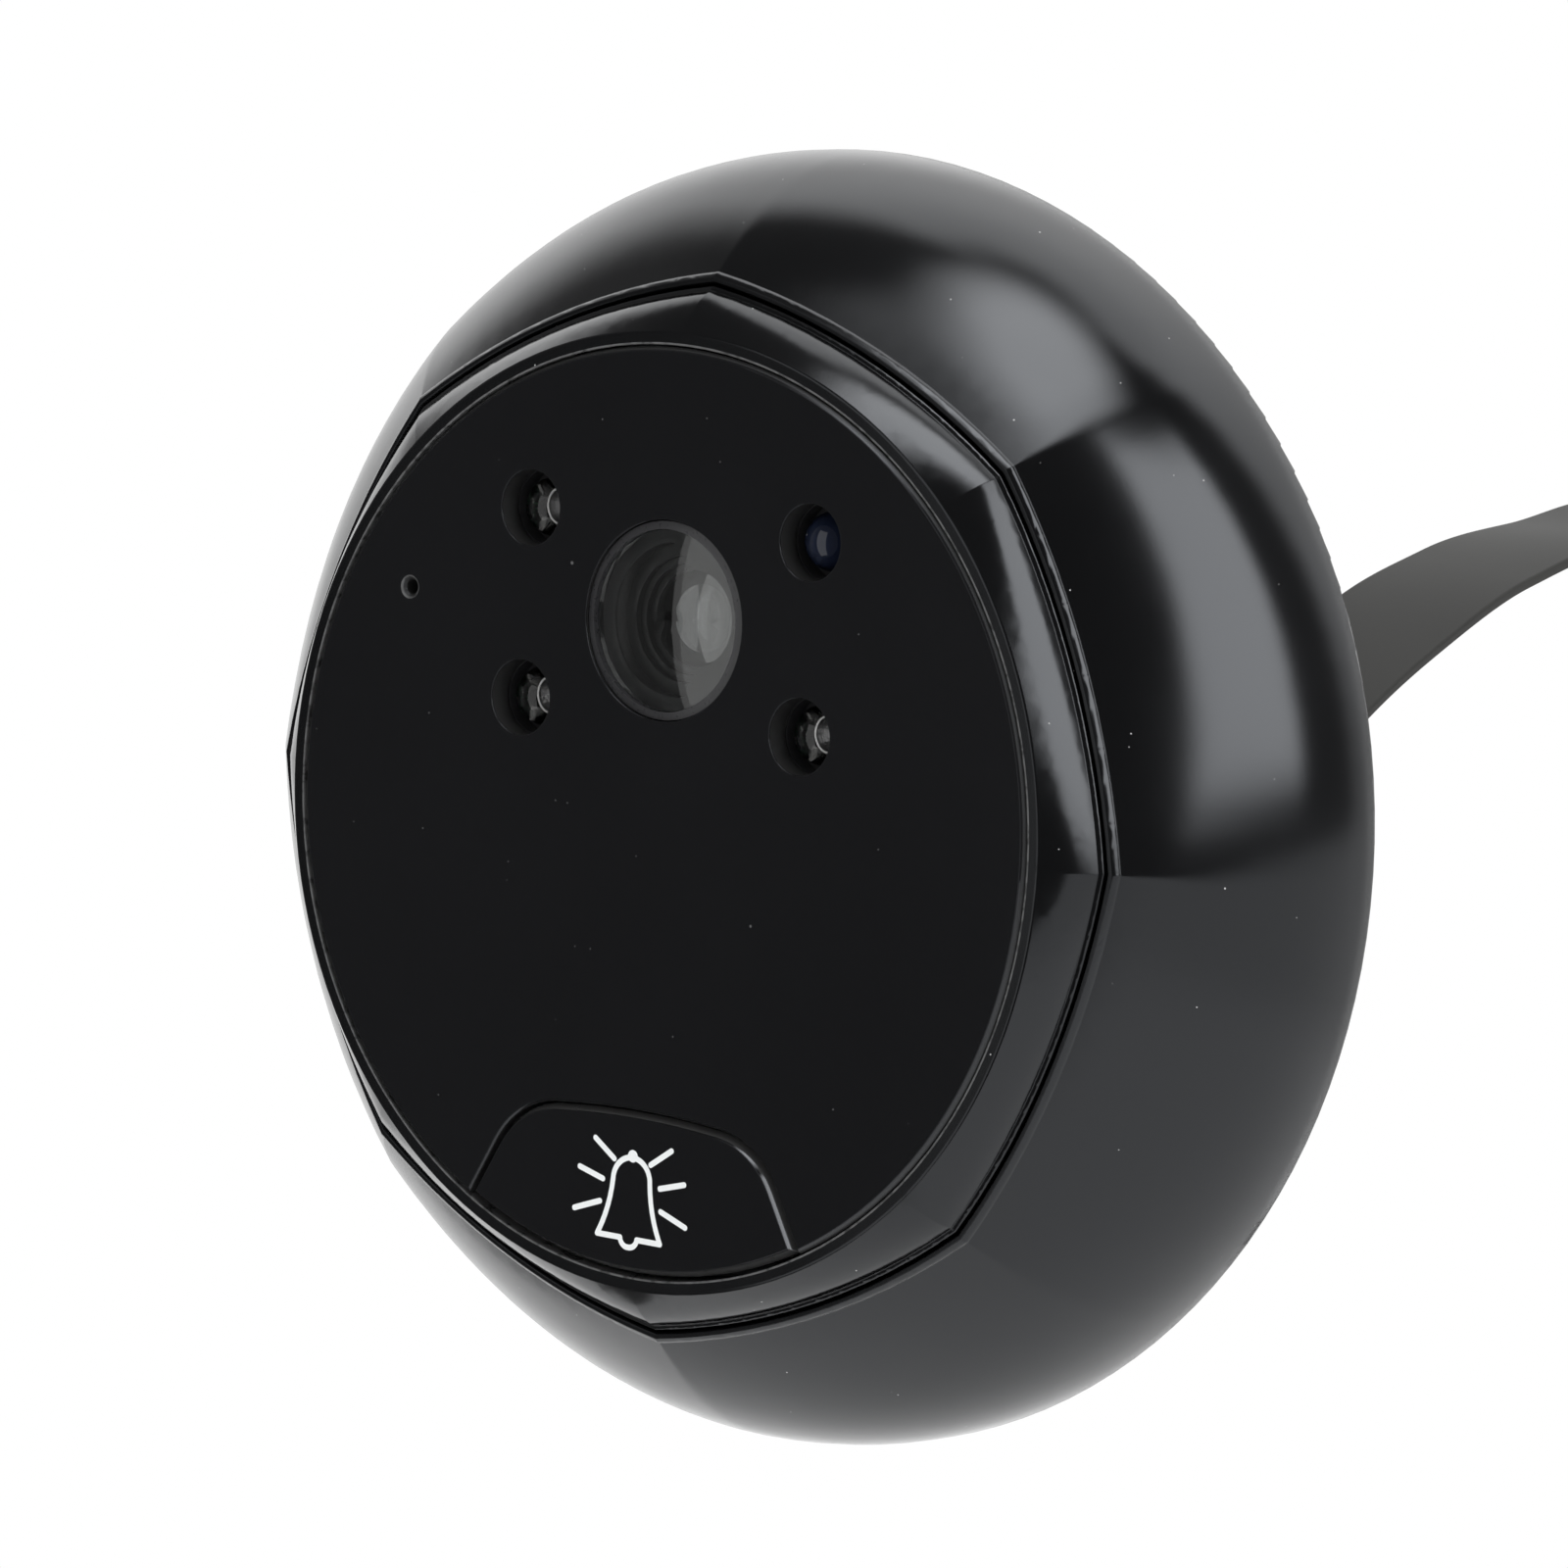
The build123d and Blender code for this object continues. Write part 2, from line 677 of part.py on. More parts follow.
def bell_half():
    """Centre line of the right half of the bell, from its top down to the clapper."""
    shoulder = bell_top - bell_half_shoulder
    waist = bell_top - bell_waist_drop
    foot = bell_top - bell_foot_drop
    clapper_low = foot - clapper_drop
    top_middle = (bell_half_shoulder * sin(pi / 4), shoulder + bell_half_shoulder * cos(pi / 4))
    clapper_middle = (clapper_half_width * sin(pi / 4), foot - clapper_drop * cos(pi / 4))
    return [
        ThreePointArc((0, bell_top), top_middle, (bell_half_shoulder, shoulder)),
        ThreePointArc((bell_half_shoulder, shoulder), (bell_half_waist, waist), (bell_half_foot, foot)),
        Line((bell_half_foot, foot), (clapper_half_width, foot)),
        ThreePointArc((clapper_half_width, foot), clapper_middle, (0, clapper_low)),
    ]


def bell_outline():
    """Hollow bell with its knob, as one closed stroke."""
    half = bell_half()
    shape = make_face(half + [edge.mirror(Plane.YZ) for edge in half])
    stroke = offset(shape, symbol_stroke / 2) - offset(shape, -symbol_stroke / 2)
    return stroke + Pos(0, bell_top + knob_rise) * Circle(knob_radius)


def thick_line(start, end):
    """Straight stroke of the symbol with round ends."""
    run = Vector(*end) - Vector(*start)
    middle = (Vector(*start) + Vector(*end)) / 2
    return Pos(middle.X, middle.Y) * Rot(0, 0, degrees(atan2(run.Y, run.X))) * SlotOverall(
        run.length + symbol_stroke, symbol_stroke)


def symbol_rays():
    """Three short sound lines on each side of the bell."""
    rays = []
    for start, end in zip(ray_start_shares, ray_end_shares):
        for side in (-1, 1):
            rays.append(thick_line(symbol_place(start, side), symbol_place(end, side)))
    return rays


def symbol_place(shares, side):
    """Place beside the bell, from shares of its foot's half width and drop."""
    return side * shares[0] * bell_half_foot, bell_top - shares[1] * bell_foot_drop


def symbol_outline():
    """The whole symbol as one sketch."""
    outline = bell_outline()
    for ray in symbol_rays():
        outline += ray
    return outline


def bell_symbol():
    """White print that fills the recess in the button, flush with its face."""
    cap_face = panel_face - button_proud
    strokes = [bell_outline()] + symbol_rays()
    return as_one([slab(stroke, cap_face, cap_face + symbol_depth) for stroke in strokes])


# Tact switch

def tact_switch():
    """Square switch body with the bore that guides its plunger."""
    bore_rear = switch_face + plunger_reach + button_travel + plunger_gap
    body = block(switch_side, switch_side, switch_face, board_front, 0, switch_z)
    return body - rod(plunger_radius + plunger_gap, switch_face - overrun, bore_rear, 0, switch_z)


def switch_plunger():
    """Round plunger that the button's stem pushes."""
    return rod(plunger_radius, plunger_tip, switch_face + plunger_reach, 0, switch_z)


# Lens module

def bow(radius, place, sag):
    """Arc of a lens face from the axis out to its edge, where it lies a sag further along Y."""
    curve = (radius ** 2 + sag ** 2) / (2 * sag)
    half_angle = asin(radius / curve) / 2
    middle = (curve * sin(half_angle), place + curve * (1 - cos(half_angle)))
    return ThreePointArc((0, place), middle, (radius, place + sag))


def lens(radius, crown, sag, edge, hollow=0.0):
    """Turned lens with a bowed front, a straight edge and a flat or hollow rear."""
    rear = crown + sag + edge
    rear_middle = rear - hollow
    rear_face = bow(radius, rear_middle, hollow) if hollow else Line((0, rear), (radius, rear))
    face = make_face([
        bow(radius, crown, sag),
        Line((radius, crown + sag), (radius, rear)),
        rear_face,
        Line((0, rear_middle), (0, crown)),
    ])
    return Pos(0, 0, lens_z) * revolve(face, Axis.Y)


def front_glass():
    """Domed front lens of the wide-angle stack."""
    return lens(lens_ring_inner_radius - glass_edge_gap, front_glass_crown, front_glass_sag, front_glass_edge,
                front_glass_hollow)


def lens_front_ring():
    """Bevelled ring that keeps the front glass in the barrel."""
    bevel_foot = lens_ring_face + lens_ring_bevel
    rear = lens_ring_face + lens_ring_height
    return turned([
        (lens_ring_inner_radius, lens_ring_face), (lens_ring_radius, bevel_foot),
        (lens_ring_radius, rear), (lens_ring_inner_radius, rear),
    ], 0, lens_z)


def lens_spacer():
    """Black stepped funnel between the front glass and the middle lens."""
    points = [(spacer_outer_radius, spacer_front)]
    for k in range(spacer_steps):
        radius = spacer_bore + (spacer_steps - 1 - k) * spacer_tread
        points += [(radius, spacer_front + k * spacer_step), (radius, spacer_front + (k + 1) * spacer_step)]
    points.append((spacer_outer_radius, spacer_rear))
    return turned(points, 0, lens_z)


def middle_lens():
    """Convex lens that shows through the front glass."""
    return lens(middle_lens_radius, middle_lens_crown, middle_lens_sag, middle_lens_edge)


def middle_lens_seat():
    """Ring that centres the middle lens in the barrel's bore."""
    room = middle_lens_radius + glass_edge_gap
    return ring_between(room, spacer_outer_radius, spacer_rear, middle_lens_rear, 0, lens_z)


def inner_lens_spacer():
    """Thin stop between the middle and the rear lens."""
    rear = inner_spacer_rear
    return ring_between(inner_spacer_bore, spacer_outer_radius, middle_lens_rear, rear, 0, lens_z)


def rear_lens():
    """Last lens of the stack."""
    return lens(rear_lens_radius, rear_lens_crown, rear_lens_sag, rear_lens_edge)


def lens_barrel():
    """Stepped barrel: a wide head for the front glass and a slim threaded body."""
    head_front = lens_ring_face + lens_ring_height
    head_rear = lens_ring_face + barrel_head_length
    rear_lens_room = rear_lens_radius + glass_edge_gap
    return turned([
        (lens_ring_inner_radius, head_front), (lens_ring_radius, head_front), (lens_ring_radius, head_rear),
        (barrel_radius, head_rear), (barrel_radius, barrel_rear), (barrel_rear_bore, barrel_rear),
        (barrel_rear_bore, rear_lens_rear), (rear_lens_room, rear_lens_rear),
        (rear_lens_room, inner_spacer_rear), (spacer_outer_radius, inner_spacer_rear),
        (spacer_outer_radius, front_glass_rear), (lens_ring_inner_radius, front_glass_rear),
    ], 0, lens_z)


def lens_holder():
    """Square mount on the board with the round collar that the barrel screws into."""
    bore = barrel_radius + holder_screw_gap
    collar_front = barrel_rear - barrel_thread_engage
    shelf_front = filter_front - holder_shelf
    base = block(holder_side, holder_side, board_front - holder_base, board_front, 0, lens_z)
    collar = rod(bore + holder_wall, collar_front, board_front, 0, lens_z)
    well = rod(bore, collar_front - overrun, shelf_front, 0, lens_z)
    light_way = sensor_block(-sensor_rim, shelf_front - overrun, filter_front + overrun)
    room = sensor_block(holder_room, filter_front, board_front + overrun)
    return base + collar - well - light_way - room


def sensor_block(grow, front, rear):
    """Block with the sensor's outline, grown on every side."""
    return block(sensor_width + 2 * grow, sensor_height + 2 * grow, front, rear, 0, lens_z)


def infrared_filter():
    """Thin filter glass under the holder's shelf, just in front of the image sensor."""
    return sensor_block(filter_margin, filter_front, filter_front + filter_thickness)


def image_sensor():
    """Image sensor package on the board, with the shallow well of its chip."""
    front = board_front - sensor_thickness
    well = sensor_block(-sensor_rim, front - overrun, front + sensor_well)
    return sensor_block(0, front, board_front) - well


def lens_seal():
    """Rubber ring that closes the gap between the lens barrel's head and the bezel's floor."""
    inner = lens_ring_radius
    outer = inner + button_opening_gap
    front = floor_front + (bezel_floor - lens_seal_section) / 2
    return ring_between(inner, outer, front, front + lens_seal_section, 0, lens_z)


# Infrared lamps, light sensor and microphone

def lamp(x, z):
    """Three millimetre lamp with a round tip, a flange and two leads."""
    body = rod(lamp_body_radius, lamp_tip + lamp_body_radius, lamp_base, x, z)
    tip = Pos(x, lamp_tip + lamp_body_radius, z) * Sphere(lamp_body_radius)
    flange = rod(lamp_flange_radius, lamp_base - lamp_flange_height, lamp_base, x, z)
    leads = Part()
    for side in (-1, 1):
        lead_x = x + side * lamp_lead_spacing / 2
        leads += block(lamp_lead_side, lamp_lead_side, lamp_base, board_front, lead_x, z)
    return body + tip + flange + leads


def infrared_lamps():
    """The three clear infrared lamps."""
    return as_one([lamp(x, z) for x, z in lamp_places()[:3]])


def light_sensor():
    """Dark blue light sensor in the same package as the lamps."""
    return lamp(*lamp_places()[3])


def lamp_sleeve(x, z):
    """Black sleeve with a wide mouth, seated on the lamp's flange."""
    mouth_rear = floor_front + sleeve_mouth_length
    bore = lamp_body_radius + sleeve_wall_gap
    rear = lamp_base - lamp_flange_height
    return turned([
        (lamp_hole_radius, floor_front), (sleeve_radius, floor_front), (sleeve_radius, rear),
        (bore, rear), (bore, mouth_rear), (lamp_hole_radius, mouth_rear),
    ], x, z)


def lamp_sleeves():
    """Four sleeves that keep stray light off the lens."""
    return as_one([lamp_sleeve(x, z) for x, z in lamp_places()])


def microphone():
    """Electret capsule with two pins that reach the board."""
    front = floor_rear + boot_front
    rear = front + microphone_height
    capsule = rod(microphone_radius, front, rear, microphone_x, microphone_z)
    for side in (-1, 1):
        capsule += block(lamp_lead_side, lamp_lead_side, rear, board_front,
                         microphone_x + side * lamp_lead_spacing / 2, microphone_z)
    return capsule


def microphone_boot():
    """Rubber cup round the capsule, open to the sound hole."""
    front = floor_rear
    rear = front + boot_front + microphone_height
    cup = rod(microphone_radius + boot_wall, front, rear, microphone_x, microphone_z)
    cup -= rod(microphone_radius, front + boot_front, rear + overrun, microphone_x, microphone_z)
    return cup - rod(microphone_hole_radius, front - overrun, rear, microphone_x, microphone_z)


# Main board

def main_board():
    """Round board with notches for the posts and holes for its screws."""
    board = Circle(board_radius)
    for x, z in polar_places(post_pitch_radius):
        board -= Pos(x, z) * Circle(post_radius + post_gap)
    for x, z in board_places(standoff_place_shares):
        board -= Pos(x, z) * Circle(board_screw_radius + sleeve_wall_gap)
    return slab(board, board_front, board_rear)


def board_chips():
    """Two square chips on the board's front."""
    return as_one([block(chip_side, chip_side, board_front - chip_height, board_front, x, z)
                   for x, z in board_places(chip_place_shares)])


def board_passives():
    """Small resistors and capacitors on the board's front."""
    return as_one([block(passive_length, passive_width, board_front - passive_height, board_front, x, z)
                   for x, z in board_places(passive_place_shares)])


def button_backlights():
    """Two lamps on the board that light the button from behind."""
    front = board_front - backlight_height
    return as_one([block(backlight_length, backlight_width, front, board_front, x, backlight_z)
                   for x in (-backlight_x, backlight_x)])


# Fasteners

def pan_screw(x, z, head_rear, head_radius, head_height, shank_radius, length):
    """Small screw driven from the rear, with a hexagonal recess in its head."""
    head = rod(head_radius, head_rear - head_height, head_rear, x, z)
    shank = rod(shank_radius, head_rear - head_height - length, head_rear - head_height, x, z)
    recess_depth = head_height * drive_recess_share
    hexagon = Pos(x, z) * RegularPolygon(drive_recess_radius, 6)
    recess = slab(hexagon, head_rear - recess_depth, head_rear + overrun)
    return head + shank - recess


def cover_screws():
    """Four screws that pull the rear cover against the ring's posts."""
    return as_one([pan_screw(x, z, ring_rear, cover_screw_head_radius, cover_screw_head_height,
                             cover_screw_pilot, cover_screw_length)
                   for x, z in polar_places(post_pitch_radius)])


def board_screws():
    """Three screws that hold the board on its standoffs."""
    return as_one([pan_screw(x, z, board_rear + board_screw_head_height, board_screw_head_radius,
                             board_screw_head_height, board_screw_pilot, board_screw_length)
                   for x, z in board_places(standoff_place_shares)])


# Rear side

def cover_skirt():
    """Skirt that presses the bezel's flange forward onto the seal, notched for the screw posts."""
    skirt = Circle(cover_skirt_outer_radius) - Circle(cover_skirt_inner_radius) - post_outlines(post_gap)
    return slab(skirt, flange_rear, cover_front)


def rear_cover():
    """Round cover with the nut recess, the foam groove and the counterbored screw holes."""
    cover = rod(cover_radius, cover_front, ring_rear) + rod(cover_boss_radius, boss_front, cover_front)
    cover += cover_skirt()
    cover -= rod(tube_radius + tube_fit, boss_front - overrun, ring_rear + overrun)
    cover -= rod(nut_corner_radius + nut_recess_gap, cover_front, ring_rear + overrun)
    foam_seat = mount_face - foam_thickness
    cover -= ring_between(foam_inner_radius, foam_outer_radius, foam_seat, ring_rear + overrun)
    hole_radius = cover_screw_pilot + screw_hole_gap
    counterbore_radius = cover_screw_head_radius + cover_screw_clearance
    for x, z in polar_places(post_pitch_radius):
        cover -= rod(hole_radius, cover_front - overrun, ring_rear + overrun, x, z)
        cover -= rod(counterbore_radius, cover_screw_seat(), ring_rear + overrun, x, z)
    return cover


def cover_gasket():
    """Flat ring between the cover and the step inside the outer ring."""
    return ring_between(cover_radius - cover_gasket_width, cover_radius, gasket_front, cover_front)


def door_pad():
    """Foam ring that stands a little proud of the cover and presses on the door."""
    return ring_between(foam_inner_radius, foam_outer_radius, mount_face - foam_thickness, mount_face)


def thread_grooves(start, end):
    """Outline of the thread's grooves from one place on the tube to another."""
    flank = (thread_pitch - 2 * thread_crest) / 2
    root = tube_radius - thread_depth
    points = []
    for k in range(int((end - start) / thread_pitch)):
        crest_end = start + k * thread_pitch + thread_crest
        root_end = crest_end + flank + thread_crest
        points += [(tube_radius, crest_end), (root, crest_end + flank), (root, root_end),
                   (tube_radius, root_end + flank)]
    return points


def threaded_tube():
    """Hollow flanged tube through the door, threaded for its nut and again towards its end."""
    points = [(tube_bore_radius, tube_flange_front), (tube_flange_radius, tube_flange_front),
              (tube_flange_radius, boss_front), (tube_radius, boss_front)]
    points += thread_grooves(boss_front, mount_face)
    points += thread_grooves(tube_shank_length - thread_crest, tube_length - thread_end_land)
    points += [(tube_radius, tube_length), (tube_bore_radius, tube_length)]
    return turned(points)


def tube_nut():
    """Thin hexagonal nut in the cover's recess, which clamps the tube's flange to the cover."""
    nut = slab(RegularPolygon(nut_corner_radius, 6), cover_front, cover_front + nut_thickness)
    return nut - rod(tube_radius + tube_fit, cover_front - overrun, ring_rear + overrun)


def ribbon_section(fit=0.0):
    """Leaning section of the ribbon, or of a slot that it fits."""
    return Rot(0, 0, -ribbon_lean) * Rectangle(ribbon_width + fit, ribbon_thickness + fit)


def cable_grommet():
    """Rubber plug in the tube's end with a slot that grips the ribbon."""
    plug = rod(tube_bore_radius - grommet_fit, grommet_end - grommet_length, tube_length)
    plug += rod(grommet_lip_radius, tube_length, grommet_end)
    slot = slab(ribbon_section(ribbon_fit), grommet_end - grommet_length - overrun, grommet_end + overrun)
    return plug - slot


# Ribbon cable

def ribbon_socket():
    """Upright socket on the board's rear, inside the tube's bore."""
    body = slab(Rot(0, 0, -ribbon_lean) * Rectangle(socket_width, socket_depth), board_rear, socket_rear)
    return body - slab(ribbon_section(ribbon_fit), socket_rear - socket_slot_depth, socket_rear + overrun)


def ribbon_inner_run():
    """Straight stretch of the ribbon from the socket through the tube to the grommet's outer face."""
    return slab(ribbon_section(), socket_rear - socket_slot_depth, grommet_end)


def route_points():
    """Route of the free ribbon, in the upright plane through the tube's axis."""
    return [Vector(0, y, z) for y, z in ribbon_route]


def route_radii(points):
    """Radius of each arc: a share of the shorter run, divided by the tangent of half the turn."""
    radii = []
    for before, corner, after in zip(points, points[1:], points[2:]):
        run_in = corner - before
        run_out = after - corner
        half_turn = radians(run_in.get_angle(run_out)) / 2
        radii.append(route_arc_share * min(run_in.length, run_out.length) / tan(half_turn))
    return radii


def ribbon_cable():
    """Free stretch of the flat ribbon, from the grommet to its plug."""
    points = route_points()
    radii = route_radii(points)
    path = FilletPolyline(*points, radius=radii)
    section = at_depth(ribbon_section(), points[0].Y)
    ribbon = sweep(section, path=path)
    print("ribbon radii", [round(radius, 1) for radius in radii])
    print("ribbon length", round(path.length, 2), "volume", round(ribbon.volume, 2), "section x length",
          round(ribbon_width * ribbon_thickness * path.length, 2))
    return ribbon


def at_plug(drop, piece):
    """Put a piece on the line of the hanging plug, a drop below the ribbon's end."""
    y, z = ribbon_route[-1]
    return Pos(0, y, z - drop) * Rot(0, 0, -ribbon_lean) * piece


def ribbon_plug():
    """Plug housing on the ribbon's end, hanging straight down."""
    body = at_plug(plug_height / 2 - plug_grip, Box(plug_width, plug_depth, plug_height))
    room = at_plug(-plug_grip, Box(ribbon_width + ribbon_fit, ribbon_thickness + ribbon_fit, plug_grip * 2))
    mouth_width = (contact_count + 1) * contact_pitch
    mouth = at_plug(plug_height - plug_grip, Box(mouth_width, plug_depth / 2, plug_slot_depth * 2))
    return body - room - mouth


def plug_contacts():
    """Row of contact blades in the plug's mouth."""
    middle = plug_height - plug_grip - plug_slot_depth + contact_length / 2
    half_row = (contact_count - 1) * contact_pitch / 2
    blade = Box(contact_width, contact_thickness, contact_length)
    return as_one([at_plug(middle, Pos(k * contact_pitch - half_row, 0) * blade)
                   for k in range(contact_count)])


NODES = (
    housing_ring, octagonal_bezel, bezel_seal, front_panel, panel_tape, doorbell_button, bell_symbol,
    switch_plunger, tact_switch, button_backlights, lens_front_ring, front_glass, lens_spacer, middle_lens,
    middle_lens_seat, inner_lens_spacer, rear_lens, lens_barrel, lens_seal, lens_holder, infrared_filter,
    image_sensor, infrared_lamps, light_sensor, lamp_sleeves, microphone, microphone_boot, main_board,
    board_chips, board_passives, board_screws, rear_cover, cover_gasket, cover_screws, door_pad,
    threaded_tube, tube_nut, cable_grommet, ribbon_socket, ribbon_inner_run, ribbon_cable, ribbon_plug,
    plug_contacts,
)


def main():
    """Write one STEP file for each piece."""
    os.makedirs("parts", exist_ok=True)
    for make_node in NODES:
        export_step(make_node(), f"parts/{make_node.__name__}.step")


main()
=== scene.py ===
import bmesh
import bpy
import json
from math import cos, pi, radians, sin
from mathutils import Matrix, Vector


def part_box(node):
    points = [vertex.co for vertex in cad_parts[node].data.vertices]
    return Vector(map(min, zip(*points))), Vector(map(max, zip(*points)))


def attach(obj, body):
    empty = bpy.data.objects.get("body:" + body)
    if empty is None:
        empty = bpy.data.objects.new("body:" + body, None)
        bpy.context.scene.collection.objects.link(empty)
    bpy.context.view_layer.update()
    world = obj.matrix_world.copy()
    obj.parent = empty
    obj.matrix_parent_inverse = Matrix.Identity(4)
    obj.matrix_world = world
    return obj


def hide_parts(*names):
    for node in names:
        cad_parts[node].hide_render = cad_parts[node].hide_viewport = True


# Looks of the peephole door camera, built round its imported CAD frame. Everything is in metres.
# The origin is the centre of the rear face that presses on the door, Y runs back into the door and
# Z is up.

MM = 0.001

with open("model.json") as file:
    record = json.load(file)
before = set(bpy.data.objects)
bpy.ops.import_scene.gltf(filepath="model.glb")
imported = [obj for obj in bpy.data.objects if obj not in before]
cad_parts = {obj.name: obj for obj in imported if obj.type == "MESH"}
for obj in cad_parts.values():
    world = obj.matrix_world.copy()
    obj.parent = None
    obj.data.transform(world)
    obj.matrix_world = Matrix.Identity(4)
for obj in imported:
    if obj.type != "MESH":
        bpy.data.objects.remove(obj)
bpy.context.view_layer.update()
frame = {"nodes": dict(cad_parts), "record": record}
unit = "unit"


# Camera, from the pose fitted to the photograph's octagonal seam and panel edge

CAMERA_AZIMUTH = radians(38.5816)
CAMERA_ELEVATION = radians(6.4855)
CAMERA_ROLL = radians(-3.2276)
CAMERA_DISTANCE = 0.44394
CAMERA_PAN = (-0.0047511, -0.0013016)    # shift of the object to the right and up in the picture, in metres
CAMERA_LENS = 213.75                     # millimetres, as is the sensor's width
CAMERA_SENSOR = 36
CAMERA_NEAR_CLIP = 0.01
AIM_DEPTH = -13.15 * MM


def add_camera():
    """Camera at the photograph's angle, with a long lens and no shift."""
    a, e, roll = CAMERA_AZIMUTH, CAMERA_ELEVATION, CAMERA_ROLL
    back = Vector((sin(a) * cos(e), -cos(a) * cos(e), sin(e)))
    level = Vector((cos(a), sin(a), 0))
    upright = back.cross(level)
    right = cos(roll) * level - sin(roll) * upright
    up = sin(roll) * level + cos(roll) * upright
    place = back * CAMERA_DISTANCE - CAMERA_PAN[0] * right - CAMERA_PAN[1] * up + Vector((0, AIM_DEPTH, 0))
    camera = bpy.data.objects.new("camera", bpy.data.cameras.new("camera"))
    camera.matrix_world = Matrix.LocRotScale(place, Matrix((right, up, back)).transposed(), None)
    camera.data.lens = CAMERA_LENS
    camera.data.sensor_width = CAMERA_SENSOR
    camera.data.clip_start = CAMERA_NEAR_CLIP
    bpy.context.scene.collection.objects.link(camera)
    bpy.context.scene.camera = camera


# Node trees

class Tree:
    """Node tree with short calls."""

    def __init__(self, owner):
        owner.use_nodes = True
        self.tree = owner.node_tree
        self.tree.nodes.clear()

    def add(self, kind, inputs=None, output=0, **settings):
        """Add a node, set or link its inputs, and return one of its outputs."""
        node = self.tree.nodes.new("ShaderNode" + kind)
        for name, value in settings.items():
            setattr(node, name, value)
        for name, value in (inputs or {}).items():
            socket = node.inputs[name]
            if isinstance(value, bpy.types.NodeSocket):
                self.tree.links.new(value, socket)
            else:
                socket.default_value = value
        return node.outputs[output] if len(node.outputs) else node

    def math(self, operation, a, b=0.0, c=0.0):
        return self.add("Math", {0: a, 1: b, 2: c}, operation=operation)

    def ramp(self, value, low, high, out_low=0.0, out_high=1.0):
        """Smooth step from one value to another."""
        return self.add("MapRange", {"Value": value, "From Min": low, "From Max": high,
                                     "To Min": out_low, "To Max": out_high},
                        interpolation_type="SMOOTHSTEP")

    def between(self, value, low, high, soft):
        """One between two values, with soft edges."""
        rise = self.ramp(value, low - soft, low + soft)
        fall = self.ramp(value, high - soft, high + soft, 1.0, 0.0)
        return self.math("MULTIPLY", rise, fall)

    def mix(self, factor, a, b):
        """Colour mix."""
        node = self.tree.nodes.new("ShaderNodeMix")
        node.data_type = "RGBA"
        for socket, value in ((node.inputs[0], factor), (node.inputs[6], a), (node.inputs[7], b)):
            if isinstance(value, bpy.types.NodeSocket):
                self.tree.links.new(value, socket)
            else:
                socket.default_value = value
        return node.outputs[2]

    def noise(self, scale, detail=2.0, roughness=0.5, at=None):
        inputs = {"Scale": scale, "Detail": detail, "Roughness": roughness}
        if at is not None:
            inputs["Vector"] = at
        return self.add("TexNoise", inputs)


def grey(level):
    return (level, level, level, 1)


class Finish(Tree):
    """Material made of procedural nodes, in object coordinates, which are the row frame in metres."""

    def __init__(self, name):
        self.material = bpy.data.materials.new(name)
        super().__init__(self.material)
        self.where = self.add("TexCoord", output=3)
        split = self.tree.nodes.new("ShaderNodeSeparateXYZ")
        self.tree.links.new(self.where, split.inputs[0])
        self.x, self.y, self.z = split.outputs

    def bump(self, height, strength, distance, normal=None):
        inputs = {"Height": height, "Strength": strength, "Distance": distance}
        if normal is not None:
            inputs["Normal"] = normal
        return self.add("Bump", inputs)

    def specks(self, spacing, radius, share):
        """Fine dust: one small spot in a share of the cells."""
        node = self.tree.nodes.new("ShaderNodeTexVoronoi")
        node.inputs["Scale"].default_value = 1 / spacing
        self.tree.links.new(self.where, node.inputs["Vector"])
        picked = self.add("SeparateColor", {0: node.outputs["Color"]})
        chosen = self.math("LESS_THAN", picked, share)
        size = self.math("MULTIPLY", self.add("SeparateColor", {0: node.outputs["Color"]}, output=1),
                         radius / spacing)
        near = self.math("LESS_THAN", node.outputs["Distance"], size)
        return self.math("MULTIPLY", chosen, near)

    def surface(self, **inputs):
        """Principled shader straight into the output."""
        names = {"color": "Base Color", "rough": "Roughness", "metal": "Metallic", "ior": "IOR",
                 "normal": "Normal", "specular": "Specular IOR Level", "shine": "Specular Tint",
                 "sheen": "Sheen Weight"}
        shader = self.add("BsdfPrincipled", {names[k]: v for k, v in inputs.items()})
        self.output(shader)
        return self.material

    def output(self, shader):
        self.add("OutputMaterial", {"Surface": shader})


# Materials

GLOSS_TINT = (0.91, 0.945, 1.0, 1)       # the real gloss reflects a little cooler than the light
PEEL_DEPTH = 0.2 * MM
FINE_RELIEF = 0.035                      # share of the fine grain in the orange peel
DUST_ROUGH = 0.7
# Painted highlight: a narrow, paler and duller ring where an edge catches light
PAINTED_HIGHLIGHT_SOFTNESS = 0.03 * MM
PAINTED_HIGHLIGHT_GREY = 0.11
PAINTED_HIGHLIGHT_ROUGH = 0.5
# Painted light that fills the shade in the sides of holes, behind a given depth
PAINTED_FILL_SOFTNESS = 0.06 * MM

# Radii that soften the edges, as the gloss shader sees them
BEZEL_CREASE = 0.07 * MM
SEAM_CREASE = 0.4 * MM
RIDGE_CREASE = 1.1 * MM
PANEL_CREASE = 0.06 * MM

# Depths where one of these radii goes over into the next
SEAM_FRONT, SEAM_REAR = -12.7 * MM, -12.1 * MM
RIDGE_FRONT, RIDGE_REAR = -12.0 * MM, -9.0 * MM

BEZEL_RIM_HIGHLIGHT = (0, 0, 22.25 * MM, 22.38 * MM)    # axis, and radii of the painted highlight line on the bezel's rim
# radii of the painted highlight ring round the microphone hole
MICROPHONE_HIGHLIGHT_RADII = (0.36 * MM, 0.56 * MM)
PANEL_PAINTED_FILL = (-15.46 * MM, 0.02, 0.35)       # depth, shade and roughness of the sides of the panel's holes, paler as painted light that fills their shade
BUTTON_PAINTED_FILL = (0.05 * MM, 0.035, 0.05)       # the same for the button's bevel and sides, its depth from the face; painted light that fills the shade of its outline
LAMP_LEAD_START = -9.15 * MM                  # behind the lamps' bases, where their bare leads start


